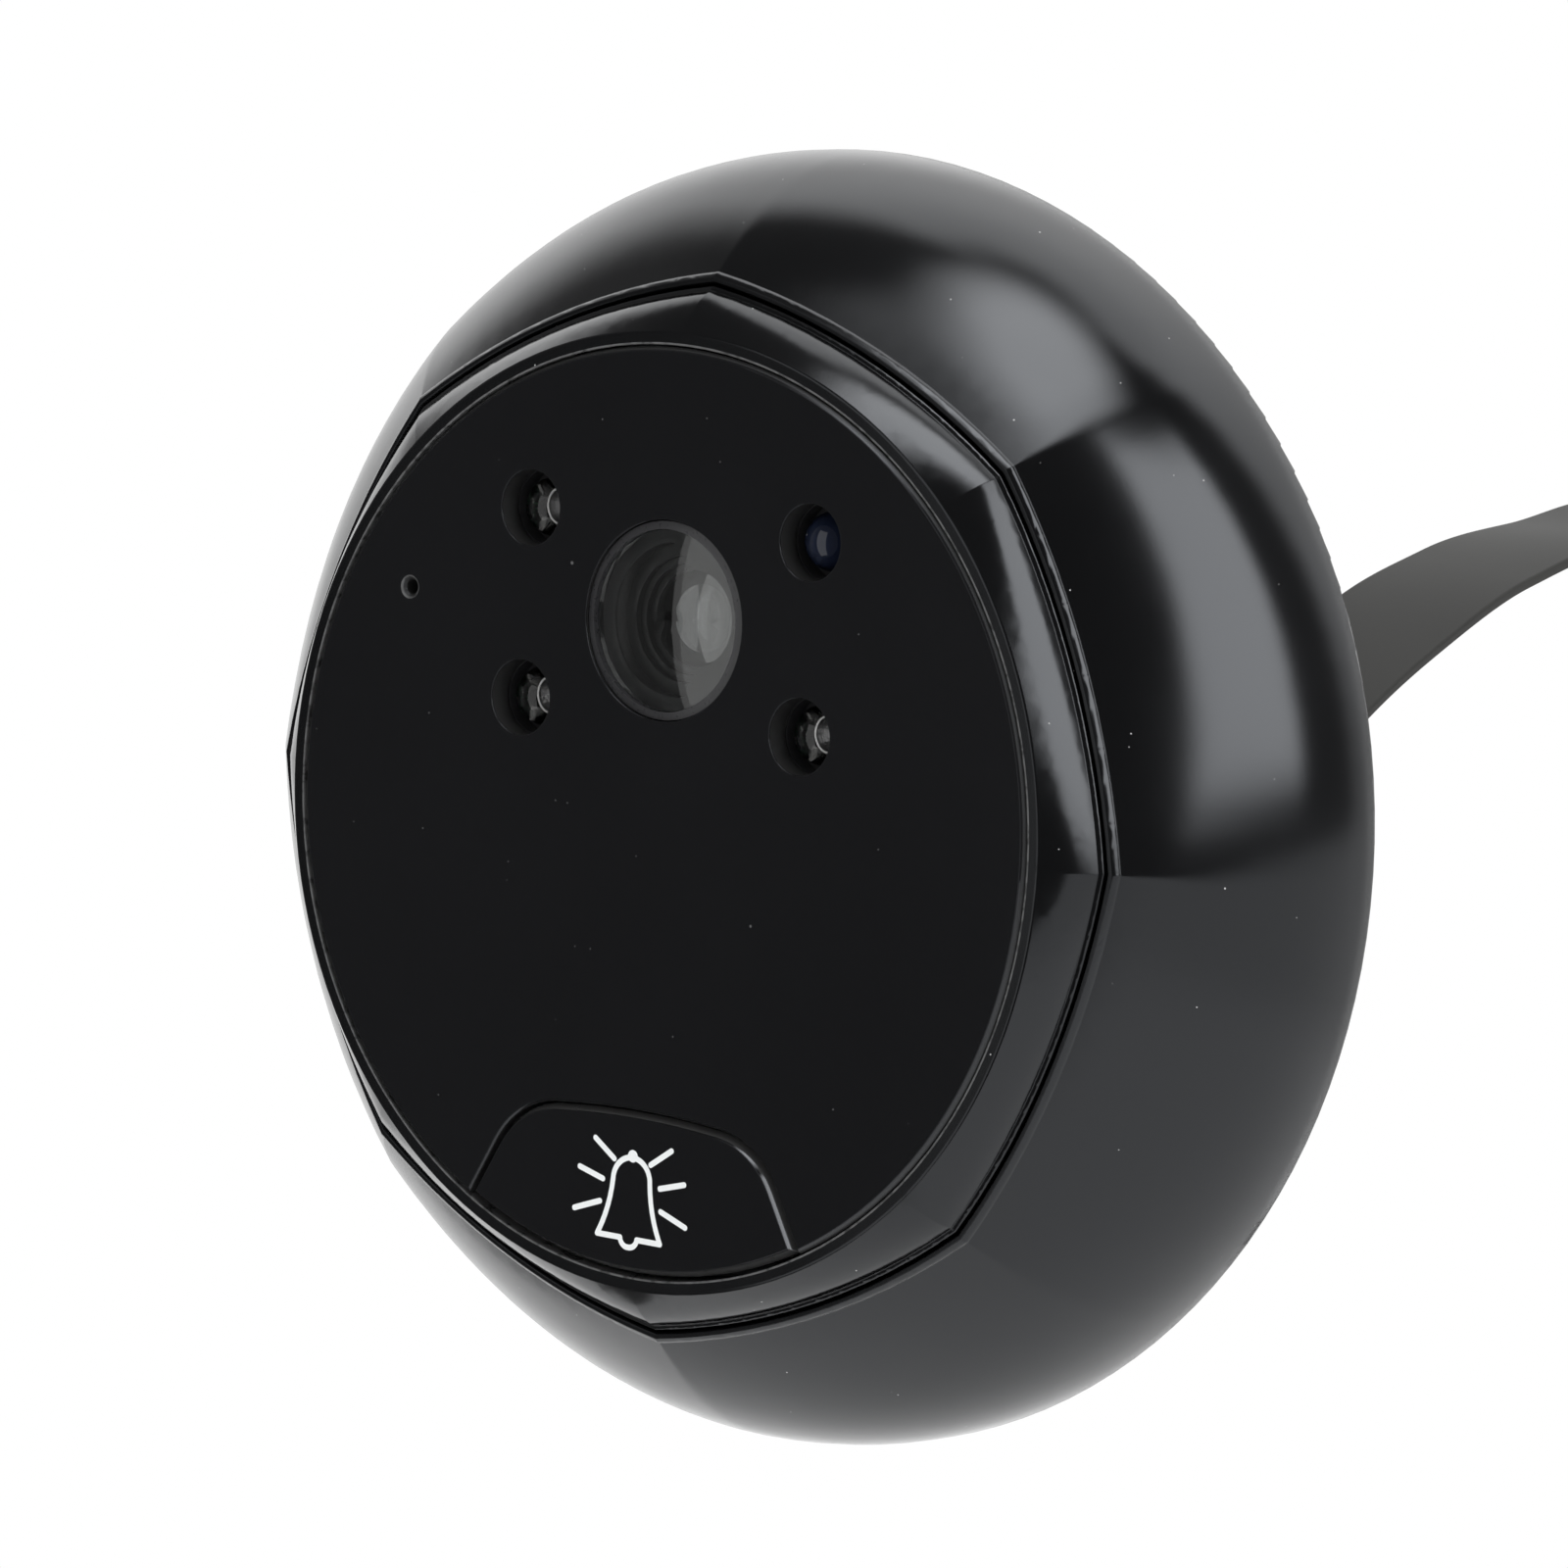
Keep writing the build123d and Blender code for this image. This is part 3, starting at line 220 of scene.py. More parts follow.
def painted_rim_highlight(f, ring):
    """Mask of a painted highlight: a narrow ring round an axis along Y, where an edge catches light, broken
    up by noise.
    """
    x, z, inner, outer = ring
    off_x, off_z = f.math("SUBTRACT", f.x, x), f.math("SUBTRACT", f.z, z)
    square = f.math("ADD", f.math("MULTIPLY", off_x, off_x), f.math("MULTIPLY", off_z, off_z))
    reach = f.math("SQRT", square)
    rise = f.ramp(reach, inner, inner + PAINTED_HIGHLIGHT_SOFTNESS)
    fall = f.ramp(reach, outer, outer + PAINTED_HIGHLIGHT_SOFTNESS, 1.0, 0.0)
    broken = f.ramp(f.noise(1500, 3, 0.6, f.where), 0.3, 0.6, 0.35, 1.0)
    return f.math("MULTIPLY", f.math("MULTIPLY", rise, fall), broken)


def gloss(name, level, rough, haze, peel, dust, dust_shade, crease, painted_highlight=None, painted_fill=None):
    """High-gloss black plastic: softened edges, slight orange peel, a little haze and fine dust.

    A painted highlight is a paler, duller ring where an edge catches light. Behind a depth, the sides of
    holes are paler and duller too: painted light that fills their shade.
    """
    f = Finish(name)
    cloud = f.noise(55, 4, 0.6, f.where)
    fine = f.noise(5000, 2, 0.5, f.where)
    wave = f.noise(130, 1, 0.4, f.where)
    dirt = f.math("MAXIMUM", f.specks(0.9 * MM, 0.05 * MM, dust), f.specks(3.1 * MM, 0.1 * MM, dust * 0.5))
    shade = f.mix(cloud, (level, level, level * 1.1, 1), (level * 1.5, level * 1.5, level * 1.65, 1))
    color = f.mix(dirt, shade, grey(dust_shade))
    roughness = f.ramp(cloud, 0.3, 0.75, rough, rough + haze)
    roughness = f.math("MAXIMUM", roughness, f.math("MULTIPLY", dirt, DUST_ROUGH))
    # Painted highlight: a paler, duller ring where an edge catches light
    if painted_highlight:
        highlight_mask = painted_rim_highlight(f, painted_highlight)
        color = f.mix(highlight_mask, color, grey(PAINTED_HIGHLIGHT_GREY))
        roughness = f.math("MAXIMUM", roughness, f.math("MULTIPLY", highlight_mask, PAINTED_HIGHLIGHT_ROUGH))
    # Painted light: paler, duller sides behind a depth, which fill the shade in holes
    if painted_fill:
        depth, fill_shade, fill_rough = painted_fill
        fill_mask = f.ramp(f.y, depth, depth + PAINTED_FILL_SOFTNESS)
        color = f.mix(fill_mask, color, grey(fill_shade))
        roughness = f.math("MAXIMUM", roughness, f.math("MULTIPLY", fill_mask, fill_rough))
    relief = f.math("ADD", f.math("MULTIPLY", fine, FINE_RELIEF), wave)
    soft = f.add("Bevel", {"Radius": crease(f)}, samples=6)
    normal = f.bump(relief, peel, PEEL_DEPTH, soft)
    return f.surface(color=color, rough=roughness, normal=normal, ior=1.5, shine=GLOSS_TINT)


def ring_crease(f):
    """Small at the bezel and the seam, larger over the ring's facets, whose ridges are soft."""
    near = f.ramp(f.y, SEAM_FRONT, SEAM_REAR, BEZEL_CREASE, SEAM_CREASE)
    return f.math("ADD", near, f.ramp(f.y, RIDGE_FRONT, RIDGE_REAR, 0.0, RIDGE_CREASE))


def panel_crease(f):
    """The same small radius all over the panel and the button."""
    return PANEL_CREASE


def satin(name, color, rough, grain, strength, variation=0.25, metal=0.0):
    """Moulded or plated surface with a fine grain and slight changes of shade."""
    f = Finish(name)
    cloud = f.noise(120, 4, 0.6, f.where)
    pits = f.noise(grain, 3, 0.6, f.where)
    low = tuple(c * (1 - variation) for c in color) + (1,)
    high = tuple(min(1, c * (1 + variation)) for c in color) + (1,)
    shade = f.mix(cloud, low, high)
    roughness = f.ramp(pits, 0.3, 0.7, rough - 0.06, rough + 0.06)
    normal = f.bump(pits, strength, 0.05 * MM)
    return f.surface(color=shade, rough=roughness, normal=normal, metal=metal, ior=1.5)


def turned_metal(name, color, rough, pitch):
    """Plated metal with fine tool marks round the Y axis."""
    f = Finish(name)
    marks = f.add("TexWave", {"Vector": f.where, "Scale": 1 / pitch, "Distortion": 1.5, "Detail": 2.0},
                  output=1, bands_direction="Y")
    smear = f.noise(400, 4, 0.6, f.where)
    shade = f.mix(smear, tuple(c * 0.8 for c in color) + (1,), color + (1,))
    roughness = f.ramp(smear, 0.3, 0.7, rough - 0.05, rough + 0.08)
    normal = f.bump(marks, 0.15, 0.02 * MM)
    return f.surface(color=shade, rough=roughness, normal=normal, metal=1.0)


def glass(name, tint, ior=1.52, rough=0.0, dirt=0.15):
    """Clear optical glass with a few dust specks."""
    f = Finish(name)
    spots = f.math("MULTIPLY", f.specks(0.8 * MM, 0.04 * MM, dirt), 0.8)
    clear = f.add("BsdfPrincipled", {"Base Color": tint + (1,), "Transmission Weight": 1.0,
                                     "Roughness": rough, "IOR": ior})
    dust = f.add("BsdfDiffuse", {"Color": grey(0.3)})
    f.output(f.add("MixShader", {0: spots, 1: clear, 2: dust}))
    return f.material


def leaded(name, tint, cloudy):
    """Moulded epoxy lamp with bright leads behind its base."""
    f = Finish(name)
    flow = f.noise(700, 2, 0.5, f.where)
    normal = f.bump(flow, 0.04, 0.1 * MM)
    spots = f.specks(0.7 * MM, 0.05 * MM, 0.2)
    body = f.add("BsdfPrincipled", {"Base Color": tint + (1,), "Transmission Weight": 1.0 - cloudy,
                                    "Roughness": 0.03, "IOR": 1.53, "Normal": normal})
    dust = f.add("BsdfDiffuse", {"Color": grey(0.35)})
    body = f.add("MixShader", {0: spots, 1: body, 2: dust})
    lead = f.add("BsdfPrincipled", {"Base Color": (0.7, 0.7, 0.7, 1), "Metallic": 1.0, "Roughness": 0.3})
    behind = f.ramp(f.y, LAMP_LEAD_START, LAMP_LEAD_START + 0.01 * MM)
    f.output(f.add("MixShader", {0: behind, 1: body, 2: lead}))
    return f.material


def rubber(name, level):
    """Soft matt rubber."""
    f = Finish(name)
    pits = f.noise(1500, 4, 0.6, f.where)
    shade = f.mix(f.noise(150, 3, 0.6, f.where), grey(level * 0.8), grey(level * 1.3))
    dusty = f.specks(1.1 * MM, 0.07 * MM, 0.25)
    color = f.mix(dusty, shade, grey(0.3))
    return f.surface(color=color, rough=0.62, normal=f.bump(pits, 0.25, 0.05 * MM), ior=1.45)


def foam_finish():
    """Closed-cell foam: small cells of different sizes."""
    f = Finish("foam")
    cells = f.tree.nodes.new("ShaderNodeTexVoronoi")
    cells.inputs["Scale"].default_value = 2600
    f.tree.links.new(f.where, cells.inputs["Vector"])
    depth = f.ramp(cells.outputs["Distance"], 0.1, 0.6)
    shade = f.mix(depth, grey(0.05), grey(0.022))
    normal = f.bump(depth, 0.6, 0.1 * MM)
    return f.surface(color=shade, rough=0.85, normal=normal, sheen=0.2)


def ribbon_finish():
    """Matt grey jacket of the flat ribbon, with very fine lines along it and scattered dust."""
    f = Finish("ribbon_grey")
    across = f.add("Mapping", {"Vector": f.where, "Scale": (1.0, 0.03, 0.03)})
    lines = f.noise(2500, 3, 0.5, across)
    grain = f.noise(4200, 3, 0.6, f.where)
    cloud = f.noise(90, 3, 0.5, f.where)
    shade = f.mix(cloud, (0.021, 0.021, 0.02, 1), (0.028, 0.028, 0.026, 1))
    shade = f.mix(f.specks(1.3 * MM, 0.06 * MM, 0.2), shade, grey(0.3))
    relief = f.math("ADD", f.math("MULTIPLY", lines, 0.5), f.math("MULTIPLY", grain, 0.5))
    normal = f.bump(relief, 0.12, 0.05 * MM)
    return f.surface(color=shade, rough=0.55, normal=normal, ior=1.45, specular=0.27)


def board_finish():
    """Green solder mask with fine copper tracks under it."""
    f = Finish("board_green")
    flat = f.add("Mapping", {"Vector": f.where, "Rotation": (pi / 2, 0, 0)})
    tracks = f.add("TexBrick", {"Vector": flat, "Scale": 420.0, "Mortar Size": 0.05,
                                "Color1": (0.006, 0.075, 0.03, 1), "Color2": (0.01, 0.095, 0.04, 1),
                                "Mortar": (0.02, 0.16, 0.07, 1)})
    normal = f.bump(f.noise(1500, 3, 0.6, f.where), 0.1, 0.05 * MM)
    return f.surface(color=tracks, rough=0.3, normal=normal)


def symbol_finish():
    """White print, a little uneven."""
    f = Finish("symbol_white")
    shade = f.mix(f.noise(900, 3, 0.6, f.where), (0.82, 0.85, 0.85, 1), (0.9, 0.92, 0.92, 1))
    normal = f.bump(f.noise(3500, 2, 0.5, f.where), 0.08, 0.03 * MM)
    return f.surface(color=shade, rough=0.35, normal=normal)


def microphone_highlight():
    """Axis and radii of the painted highlight round the microphone hole's countersink, where its edge catches
    light.
    """
    low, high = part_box("microphone")
    return ((low.x + high.x) / 2, (low.z + high.z) / 2) + MICROPHONE_HIGHLIGHT_RADII


def button_painted_fill():
    """Depth, shade and roughness of the button's bevel and sides, paler as painted light that fills their
    shade.
    """
    behind_face, shade, rough = BUTTON_PAINTED_FILL
    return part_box("doorbell_button")[0].y + behind_face, shade, rough


def make_finishes():
    """One material for each of the record's slots, and for three nodes that show in the panel's holes."""
    return {
        # The bezel's rim, the microphone hole and the sides of holes get painted highlights and painted fill
        # light
        "gloss_black": gloss("gloss_black", 0.0015, 0.13, 0.05, 0.1, 0.4, 0.45, ring_crease,
                             BEZEL_RIM_HIGHLIGHT),
        "panel_black": gloss("panel_black", 0.0045, 0.035, 0.03, 0.015, 0.25, 0.09, panel_crease,
                             microphone_highlight(), PANEL_PAINTED_FILL),
        "button_black": gloss("button_black", 0.0045, 0.035, 0.03, 0.015, 0.2, 0.09, panel_crease,
                              painted_fill=button_painted_fill()),
        "symbol_white": symbol_finish(),
        "matte_black": satin("matte_black", (0.011, 0.011, 0.012), 0.5, 2500, 0.2),
        "lens_ring_black": satin("lens_ring_black", (0.024, 0.024, 0.026), 0.32, 4500, 0.05),
        "lens_glass": glass("lens_glass", (0.97, 0.99, 0.98)),
        "middle_lens": glass("middle_lens_glass", (0.97, 0.98, 0.99), 1.9, dirt=0.05),
        "filter_glass": glass("filter_glass", (0.55, 0.75, 0.8), rough=0.02),
        "lamp_clear": leaded("lamp_clear", (0.97, 0.97, 0.94), 0.0),
        "sensor_blue": leaded("sensor_blue", (0.006, 0.009, 0.021), 1.0),
        "seal_rubber": rubber("seal_rubber", 0.024),
        "foam": foam_finish(),
        "tape": satin("tape", (0.75, 0.75, 0.7), 0.6, 1500, 0.2, 0.08),
        "board_green": board_finish(),
        "lens_spacer": satin("funnel_black", (0.004, 0.004, 0.0045), 0.4, 2500, 0.1),
        # The sleeves' black is lighter than the matte black: painted light that fills the shade inside the
        # lamp holes
        "lamp_sleeves": satin("sleeve_painted_fill", (0.024, 0.024, 0.026), 0.45, 2500, 0.1),
        "chip_black": satin("chip_black", (0.02, 0.02, 0.022), 0.45, 5000, 0.2),
        "passive_tan": satin("passive_tan", (0.4, 0.31, 0.21), 0.5, 3000, 0.2),
        "lamp_white": satin("lamp_white", (0.85, 0.84, 0.76), 0.4, 2500, 0.1, 0.05),
        "capsule_metal": satin("capsule_metal", (0.72, 0.72, 0.74), 0.3, 2500, 0.1, 0.1, 1.0),
        "switch_black": satin("switch_black", (0.025, 0.025, 0.025), 0.45, 3000, 0.15),
        "plunger_cream": satin("plunger_cream", (0.7, 0.66, 0.55), 0.4, 2500, 0.1, 0.08),
        "screw_steel": turned_metal("screw_steel", (0.55, 0.55, 0.56), 0.28, 0.3 * MM),
        "tube_metal": turned_metal("tube_metal", (0.62, 0.6, 0.57), 0.25, 0.25 * MM),
        "ribbon_grey": ribbon_finish(),
        "plug_white": satin("plug_white", (0.74, 0.73, 0.68), 0.45, 2200, 0.12, 0.06),
        "contact_gold": satin("contact_gold", (0.83, 0.62, 0.25), 0.25, 3500, 0.08, 0.1, 1.0),
    }


def dress_frame():
    """Give each CAD node its own finish, or else that of its slot."""
    for part in frame["record"]["subparts"]:
        mesh = frame["nodes"][part["node"]].data
        mesh.materials.clear()
        mesh.materials.append(finishes.get(part["node"], finishes[part["material_slot"]]))


# Pieces

def add_piece(name, mesh, slot, body=unit):
    """New piece with the finish of a slot, riding on a body."""
    mesh.materials.append(finishes[slot])
    piece = bpy.data.objects.new(name, mesh)
    bpy.context.scene.collection.objects.link(piece)
    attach(piece, body)
    return piece


def add_mesh(name, vertices, faces, slot):
    """New smooth piece from its points and faces."""
    mesh = bpy.data.meshes.new(name)
    mesh.from_pydata([tuple(v) for v in vertices], [], faces)
    mesh.polygons.foreach_set("use_smooth", [True] * len(mesh.polygons))
    mesh.update()
    return add_piece(name, mesh, slot)


# Ribbon

# Control points of the free ribbon's line, as depth and height in millimetres
RIBBON_ROUTE = ((20.0, 0.0), (32.0, -0.6), (43.0, 6.5), (55.0, 10.4), (67.5, 11.4), (79.0, 10.0),
                (88.0, -1.0), (93.0, -12.5), (94.6, -25.5), (93.7, -39.0), (93.2, -52.5), (94.0, -66.0),
                (94.0, -79.0))

# Depth in millimetres and lean of the section there in degrees
RIBBON_LEANS = ((20, 12), (36, 10.5), (44, 14), (52, 7.5), (60, 2), (68, 15), (80, 12))
RIBBON_WIDTH = 7.0 * MM
RIBBON_THICKNESS = 0.6 * MM
RIBBON_EDGE = 0.16 * MM
LINE_STEPS = 24                # of the line between two control points
CORNER_STEPS = 4               # of a rounded corner, a quarter turn
CORNERS = ((1, 1), (-1, 1), (-1, -1), (1, -1))


def nurbs_line(route):
    """Points along the smooth line that the route's points pull on."""
    curve = bpy.data.curves.new("route", "CURVE")
    curve.dimensions = "3D"
    curve.resolution_u = LINE_STEPS
    spline = curve.splines.new("NURBS")
    spline.points.add(len(route) - 1)
    for point, (y, z) in zip(spline.points, route):
        point.co = (0, y * MM, z * MM, 1)
    spline.order_u = 3
    spline.use_endpoint_u = True
    holder = bpy.data.objects.new("route", curve)
    bpy.context.scene.collection.objects.link(holder)
    bpy.context.view_layer.update()
    line = bpy.data.meshes.new_from_object(holder)
    points = [v.co.copy() for v in line.vertices]
    bpy.data.objects.remove(holder)
    bpy.data.meshes.remove(line)
    return points


def rounded_box(half_wide, half_thick, edge):
    """Outline of a box section with rounded corners, as pairs from its centre, one corner after the other."""
    outline = []
    for corner, (side_a, side_b) in enumerate(CORNERS):
        for k in range(CORNER_STEPS + 1):
            turn = corner * pi / 2 + k * pi / 2 / CORNER_STEPS
            outline.append((side_a * (half_wide - edge) + edge * cos(turn),
                            side_b * (half_thick - edge) + edge * sin(turn)))
    return outline


def ribbon_lean(depth):
    """Lean of the ribbon's section at a depth behind the unit, easing from one stated lean to the next."""
    place = depth / MM
    lean = RIBBON_LEANS[-1][1]
    for (near, lean_near), (far, lean_far) in zip(RIBBON_LEANS[::-1][1:], RIBBON_LEANS[::-1]):
        if place < far:
            share = max(0.0, (place - near) / (far - near))
            lean = lean_near + (lean_far - lean_near) * share * share * (3 - 2 * share)
    return radians(lean)


def sweep_ribbon(name, points):
    """Flat ribbon along a line in the plane x = 0, with a slight twist."""
    outline = rounded_box(RIBBON_WIDTH / 2, RIBBON_THICKNESS / 2, RIBBON_EDGE)
    vertices, faces = [], []
    for k, point in enumerate(points):
        run = points[min(k + 1, len(points) - 1)] - points[max(k - 1, 0)]
        run.normalize()
        normal = Vector((0, -run.z, run.y))
        lean = ribbon_lean(point.y)
        wide = Vector((-cos(lean), 0, 0)) + normal * sin(lean)
        thick = run.cross(wide)
        vertices += [point + wide * across + thick * up for across, up in outline]
    count = len(outline)
    for k in range(len(points) - 1):
        for j in range(count):
            low, high = k * count + j, k * count + (j + 1) % count
            faces.append((low, high, high + count, low + count))
    faces.append(tuple(range(count))[::-1])
    faces.append(tuple((len(points) - 1) * count + j for j in range(count)))
    return add_mesh(name, vertices, faces, "ribbon_grey")


def add_ribbon():
    """Free ribbon on its route, and the straight stretch inside the tube."""
    points = nurbs_line(RIBBON_ROUTE)
    ribbon = sweep_ribbon("ribbon", points)
    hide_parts("ribbon_cable")
    low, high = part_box("ribbon_inner_run")
    inner = sweep_ribbon("ribbon_inside", [Vector((0, low.y, 0)), Vector((0, high.y, 0))])
    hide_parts("ribbon_inner_run")


# Foam pad

PAD_WIDTH = 3.4 * MM
PAD_EDGE = 0.22 * MM
PAD_WAVE = 0.012 * MM          # how far its edges stray from true circles
TURN_STEPS = 192


def lathe(name, profile, slot, wobble):
    """Closed ring turned about the Y axis from (radius, depth) pairs, a little out of round."""
    vertices, faces = [], []
    size = len(profile)
    for k in range(TURN_STEPS):
        turn = 2 * pi * k / TURN_STEPS
        swell = wobble * sin(3 * turn + 0.4) + wobble * 0.6 * sin(7 * turn)
        vertices += [((r + swell) * sin(turn), y, (r + swell) * cos(turn)) for r, y in profile]
    for k in range(TURN_STEPS):
        here, there = k * size, (k + 1) % TURN_STEPS * size
        for j in range(size):
            after = (j + 1) % size
            faces.append((here + j, here + after, there + after, there + j))
    return add_mesh(name, vertices, faces, slot)


def add_foam():
    """Foam ring with rounded edges, in the place of the CAD pad."""
    low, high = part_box("door_pad")
    middle_radius, middle_depth = high.x - PAD_WIDTH / 2, (low.y + high.y) / 2
    section = rounded_box(PAD_WIDTH / 2, (high.y - low.y) / 2, PAD_EDGE)
    profile = [(middle_radius + across, middle_depth + along) for across, along in section]
    pad = lathe("foam_ring", profile, "foam", PAD_WAVE)
    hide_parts("door_pad")


# Lamp insides

# All in millimetres: the lamps' places across and up, and depths from the lamp's tip
LAMP_PLACES = ((-8.6, 13.8), (-8.6, 4.65), (8.6, 4.65))
CUP_STEPS = 32
CUP_PROFILE = ((0.55, 1.75), (0.5, 1.75), (0.25, 2.23), (0.0, 2.23), (0.0, 2.35), (0.32, 2.35), (0.55, 1.75))
POSTS = ((-0.45, 0.15, 2.3), (0.55, 1.0, 1.95))    # left, right and front
POST_LENGTH = 2.6
POST_THICKNESS = 0.45


def add_cup(mesh, place):
    """Reflector cup round a line along Y."""
    rings = []
    for radius, depth in CUP_PROFILE:
        ring = []
        for k in range(CUP_STEPS):
            turn = 2 * pi * k / CUP_STEPS
            offset = Vector((radius * cos(turn), depth, radius * sin(turn)))
            ring.append(mesh.verts.new(place + offset * MM))
        rings.append(ring)
    for a, b in zip(rings, rings[1:]):
        for k in range(CUP_STEPS):
            after = (k + 1) % CUP_STEPS
            mesh.faces.new((a[k], a[after], b[after], b[k]))


def add_post(mesh, place, left, right, front):
    """Flat post that runs back through the lamp."""
    size = Vector((right - left, POST_LENGTH, POST_THICKNESS)) * MM
    centre = place + Vector(((left + right) / 2, front + POST_LENGTH / 2, 0)) * MM
    for corner in bmesh.ops.create_cube(mesh, size=1.0)["verts"]:
        corner.co = corner.co * size + centre


def add_lamp_frames():
    """Bright lead frame inside each clear lamp: a reflector cup on one post and a bare post beside it."""
    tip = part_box("infrared_lamps")[0].y
    mesh = bmesh.new()
    for x, z in LAMP_PLACES:
        place = Vector((x * MM, tip, z * MM))
        add_cup(mesh, place)
        for left, right, front in POSTS:
            add_post(mesh, place, left, right, front)
    bmesh.ops.recalc_face_normals(mesh, faces=mesh.faces)
    data = bpy.data.meshes.new("lamp_frames")
    mesh.to_mesh(data)
    mesh.free()
    add_piece("lamp_frames", data, "screw_steel")


# Floor, world and light

FLOOR_LEVEL = -90 * MM
FLOOR_LEFT, FLOOR_RIGHT, FLOOR_FRONT, FLOOR_BACK = -3.0, 3.0, -0.36, 4.0
FLOOR_WHITE_FROM, FLOOR_WHITE_AT = 0.16, 0.24    # distances from the part between which it turns white

# Line on the floor, as a x + b y + c = 0, in front of which reflections show the dark room
ROOM_LINE = (-0.551, -0.834, -0.0384)
ROOM_LINE_SOFTNESS = 0.002

# All in the world is in degrees: azimuth from straight ahead of the part to its right, and elevation.

# Backdrop behind the part: its strength, its fades at both sides by azimuth, and its fades by elevation.
# A fade is two angles and the values there.
BACKDROP_LEVEL = 1.3
BACKDROP_SIDES = ((130, 146, 0.0, 1.0), (-115, -92, 1.0, 0.0))
BACKDROP_RISES = ((70, 84, 1.0, 0.0), (-5, 25, 0.68, 1.06), (35, 58, 1.0, 1.4))

# Soft boxes: strength, azimuth from and to, elevation from and to, and the softness of both pairs of edges
SOFT_BOXES = ((4.9, 61.5, 104, 8, 57, 3.5, 4),        # large box at the right
              (1.1, -45, 40, 59, 71, 14, 5),          # band high in front
              (0.17, 100, 140, -15, 60, 8, 8),        # weak light between the right box and the backdrop
              (0.2, -95, -51, -20, 45, 5, 10),        # weak light at the left
              (0.95, -36, 2, -48, 34, 0.3, 0.6))      # pale panel in front, which the lens shows

# Round lamp overhead: azimuth, elevation, strength, and its fade by the angle from its centre
LAMP_AZIMUTH, LAMP_ELEVATION, LAMP_LEVEL = 30, 80, 5.6
LAMP_FADE = (7, 21, 1.0, 0.0)

ROOM_FADE = (-70, -20, 0.12, 0.085)     # of the dark room in front, by azimuth
MATT_SHARE, MATT_LEVEL = 0.22, 0.64     # matt surfaces see this share of it all, over an even light
DEGREES = 180 / pi                      # in a radian


def floor_finish():
    """Pale paper that goes over into white, and that reflections see only up to the dark room."""
    f = Finish("floor")
    square = f.math("ADD", f.math("MULTIPLY", f.x, f.x), f.math("MULTIPLY", f.y, f.y))
    away = f.ramp(f.math("SQRT", square), FLOOR_WHITE_FROM, FLOOR_WHITE_AT)
    paper = f.mix(f.noise(300, 4, 0.6, f.where), grey(0.87), grey(0.91))
    sheet = f.add("BsdfDiffuse", {"Color": paper})
    white = f.add("Emission", {"Color": grey(1.0), "Strength": 1.0})
    path = f.tree.nodes.new("ShaderNodeLightPath")
    mirrored = f.math("MAXIMUM", path.outputs["Is Glossy Ray"], path.outputs["Is Transmission Ray"])
    seen = f.math("MAXIMUM", path.outputs["Is Camera Ray"], mirrored)
    sheet = f.add("MixShader", {0: f.math("MULTIPLY", seen, away), 1: sheet, 2: white})
    along_x, along_y, offset = ROOM_LINE
    beyond = f.math("MULTIPLY_ADD", f.x, along_x, f.math("MULTIPLY_ADD", f.y, along_y, offset))
    beyond = f.ramp(beyond, -ROOM_LINE_SOFTNESS, ROOM_LINE_SOFTNESS)
    beyond = f.math("MULTIPLY", path.outputs["Is Glossy Ray"], beyond)
    f.output(f.add("MixShader", {0: beyond, 1: sheet, 2: f.add("BsdfTransparent")}))
    return f.material


def add_floor():
    """Pale sheet under the part, which goes over into the white backdrop away from it."""
    mesh = bpy.data.meshes.new("floor")
    corners = [(FLOOR_LEFT, FLOOR_FRONT, FLOOR_LEVEL), (FLOOR_RIGHT, FLOOR_FRONT, FLOOR_LEVEL),
               (FLOOR_RIGHT, FLOOR_BACK, FLOOR_LEVEL), (FLOOR_LEFT, FLOOR_BACK, FLOOR_LEVEL)]
    mesh.from_pydata(corners, [], [(0, 1, 2, 3)])
    mesh.materials.append(floor_finish())
    floor = bpy.data.objects.new("floor", mesh)
    bpy.context.scene.collection.objects.link(floor)


def soft_box(t, turn, rise, box):
    """Light of one soft box."""
    level, turn_low, turn_high, rise_low, rise_high, soft_turn, soft_rise = box
    patch = t.math("MULTIPLY", t.between(turn, turn_low, turn_high, soft_turn),
                   t.between(rise, rise_low, rise_high, soft_rise))
    return t.math("MULTIPLY", patch, level)


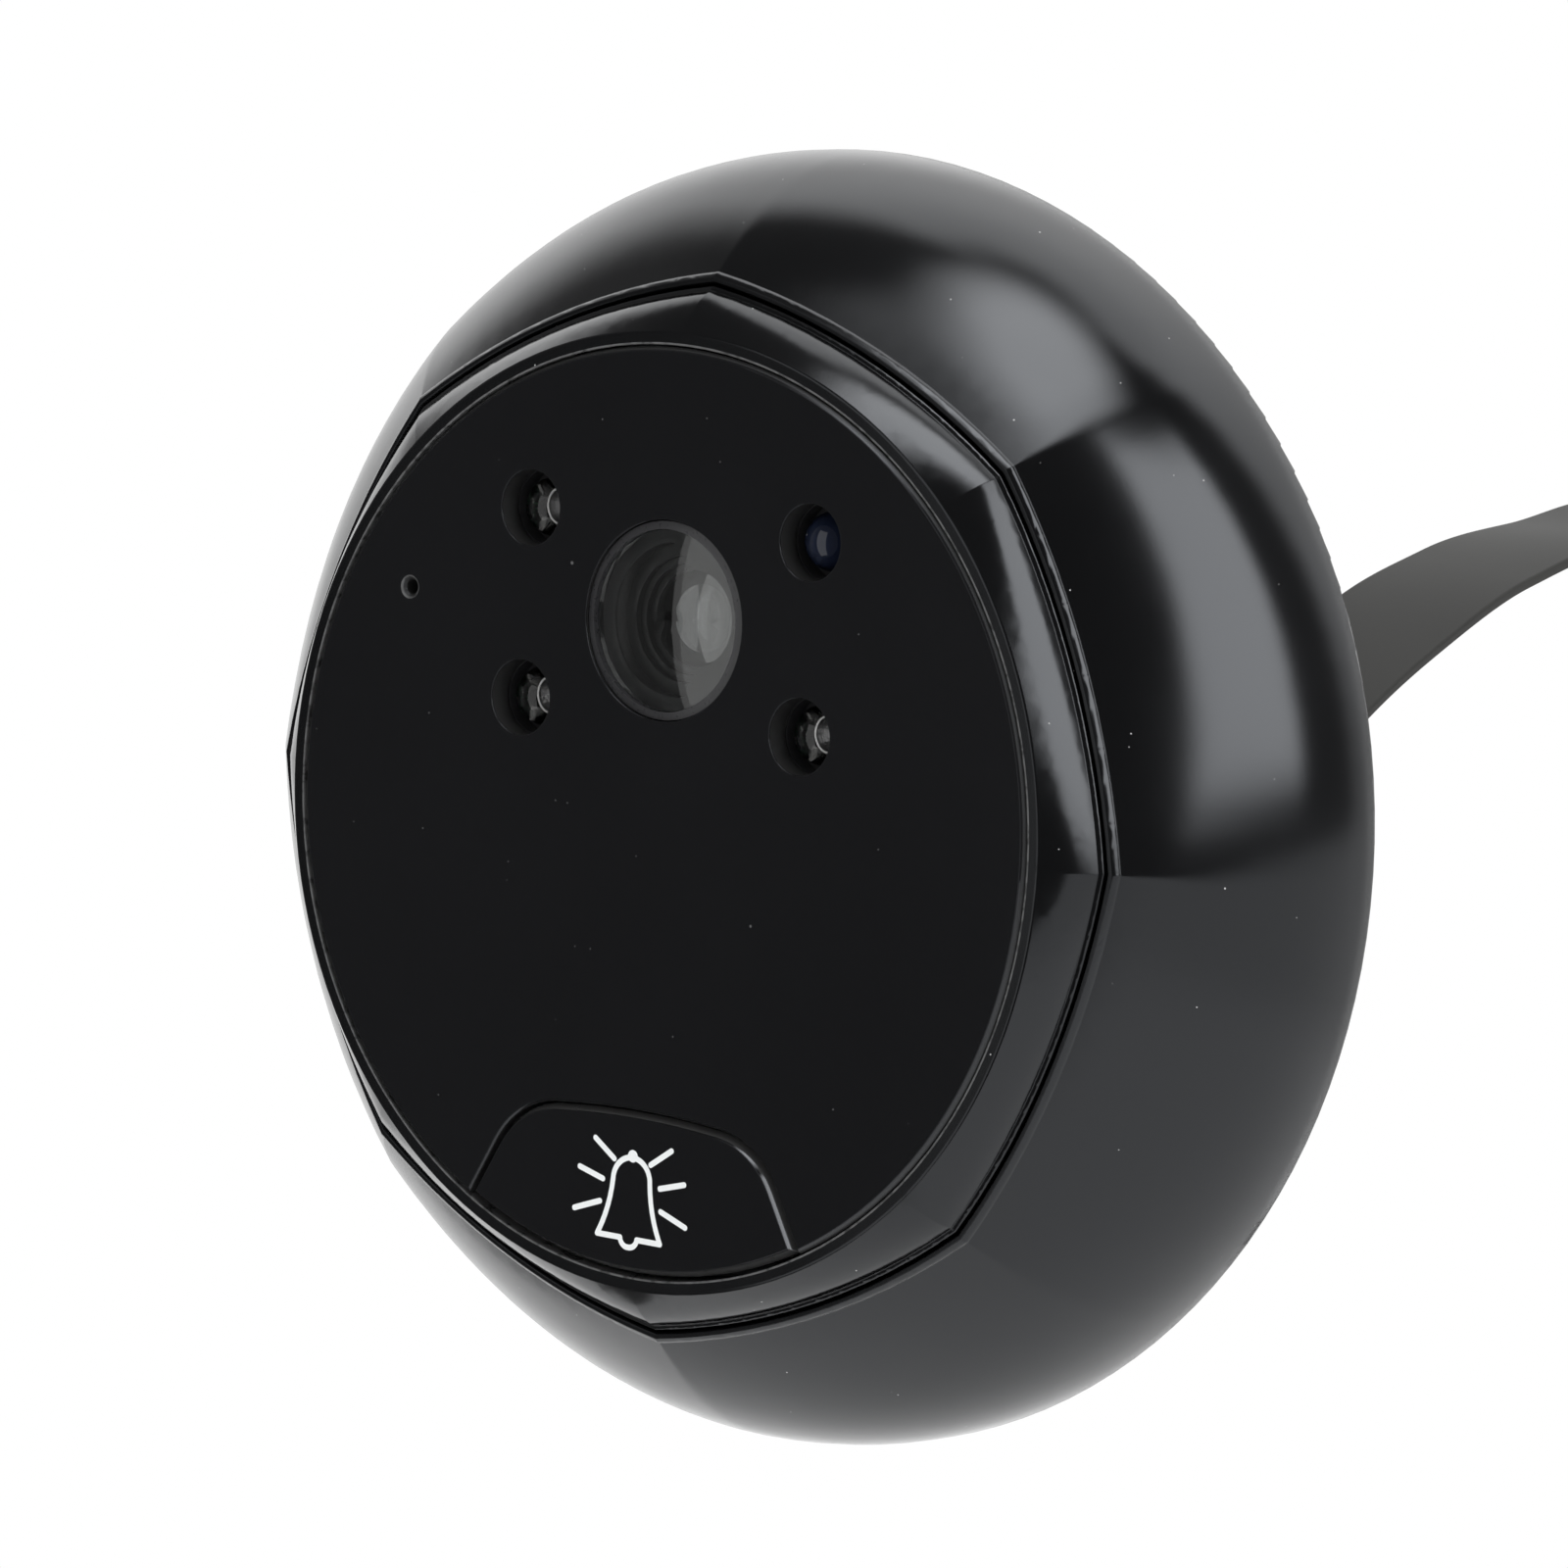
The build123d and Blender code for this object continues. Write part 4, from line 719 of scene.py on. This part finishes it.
def overhead_lamp(t, direction):
    """Light of the round lamp overhead."""
    a, e = radians(LAMP_AZIMUTH), radians(LAMP_ELEVATION)
    centre = Vector((sin(a) * cos(e), -cos(a) * cos(e), sin(e)))
    aligned = t.add("VectorMath", {0: direction, 1: centre}, output=1, operation="DOT_PRODUCT")
    from_centre = t.math("MULTIPLY", t.math("ARCCOSINE", aligned), DEGREES)
    return t.math("MULTIPLY", t.ramp(from_centre, *LAMP_FADE), LAMP_LEVEL)


def studio_light(t):
    """Strength of the studio's light by direction: backdrop, soft boxes, lamp and dark room."""
    direction = t.add("TexCoord", output=0)
    split = t.tree.nodes.new("ShaderNodeSeparateXYZ")
    t.tree.links.new(direction, split.inputs[0])
    x, y, z = split.outputs
    turn = t.math("MULTIPLY", t.math("ARCTAN2", x, t.math("MULTIPLY", y, -1.0)), DEGREES)
    rise = t.math("MULTIPLY", t.math("ARCSINE", z), DEGREES)
    right, left = BACKDROP_SIDES
    backdrop = t.math("ADD", t.ramp(turn, *right), t.ramp(turn, *left))
    for fade in BACKDROP_RISES:
        backdrop = t.math("MULTIPLY", backdrop, t.ramp(rise, *fade))
    total = t.math("MULTIPLY", backdrop, BACKDROP_LEVEL)
    for box in SOFT_BOXES:
        total = t.math("ADD", total, soft_box(t, turn, rise, box))
    total = t.math("ADD", total, overhead_lamp(t, direction))
    return t.math("MAXIMUM", total, t.ramp(turn, *ROOM_FADE))


def add_world():
    """White studio: dark room in front, white backdrop behind, soft boxes at the right and overhead."""
    world = bpy.data.worlds.new("studio")
    bpy.context.scene.world = world
    t = Tree(world)
    studio = studio_light(t)
    path = t.tree.nodes.new("ShaderNodeLightPath")
    matt = path.outputs["Is Diffuse Ray"]
    even = t.math("MULTIPLY_ADD", studio, MATT_SHARE, MATT_LEVEL)
    for_matt = t.math("MULTIPLY", matt, even)
    for_rest = t.math("MULTIPLY", t.math("SUBTRACT", 1.0, matt), studio)
    light = t.add("Background", {"Color": grey(1.0), "Strength": t.math("ADD", for_matt, for_rest)})
    white = t.add("Background", {"Color": grey(1.0), "Strength": 1.0})
    mixed = t.add("MixShader", {0: path.outputs["Is Camera Ray"], 1: light, 2: white})
    t.add("OutputWorld", {"Surface": mixed})


bpy.context.scene.view_settings.view_transform = "Standard"
add_camera()
finishes = make_finishes()
dress_frame()
add_ribbon()
add_foam()
add_lamp_frames()
add_floor()
add_world()
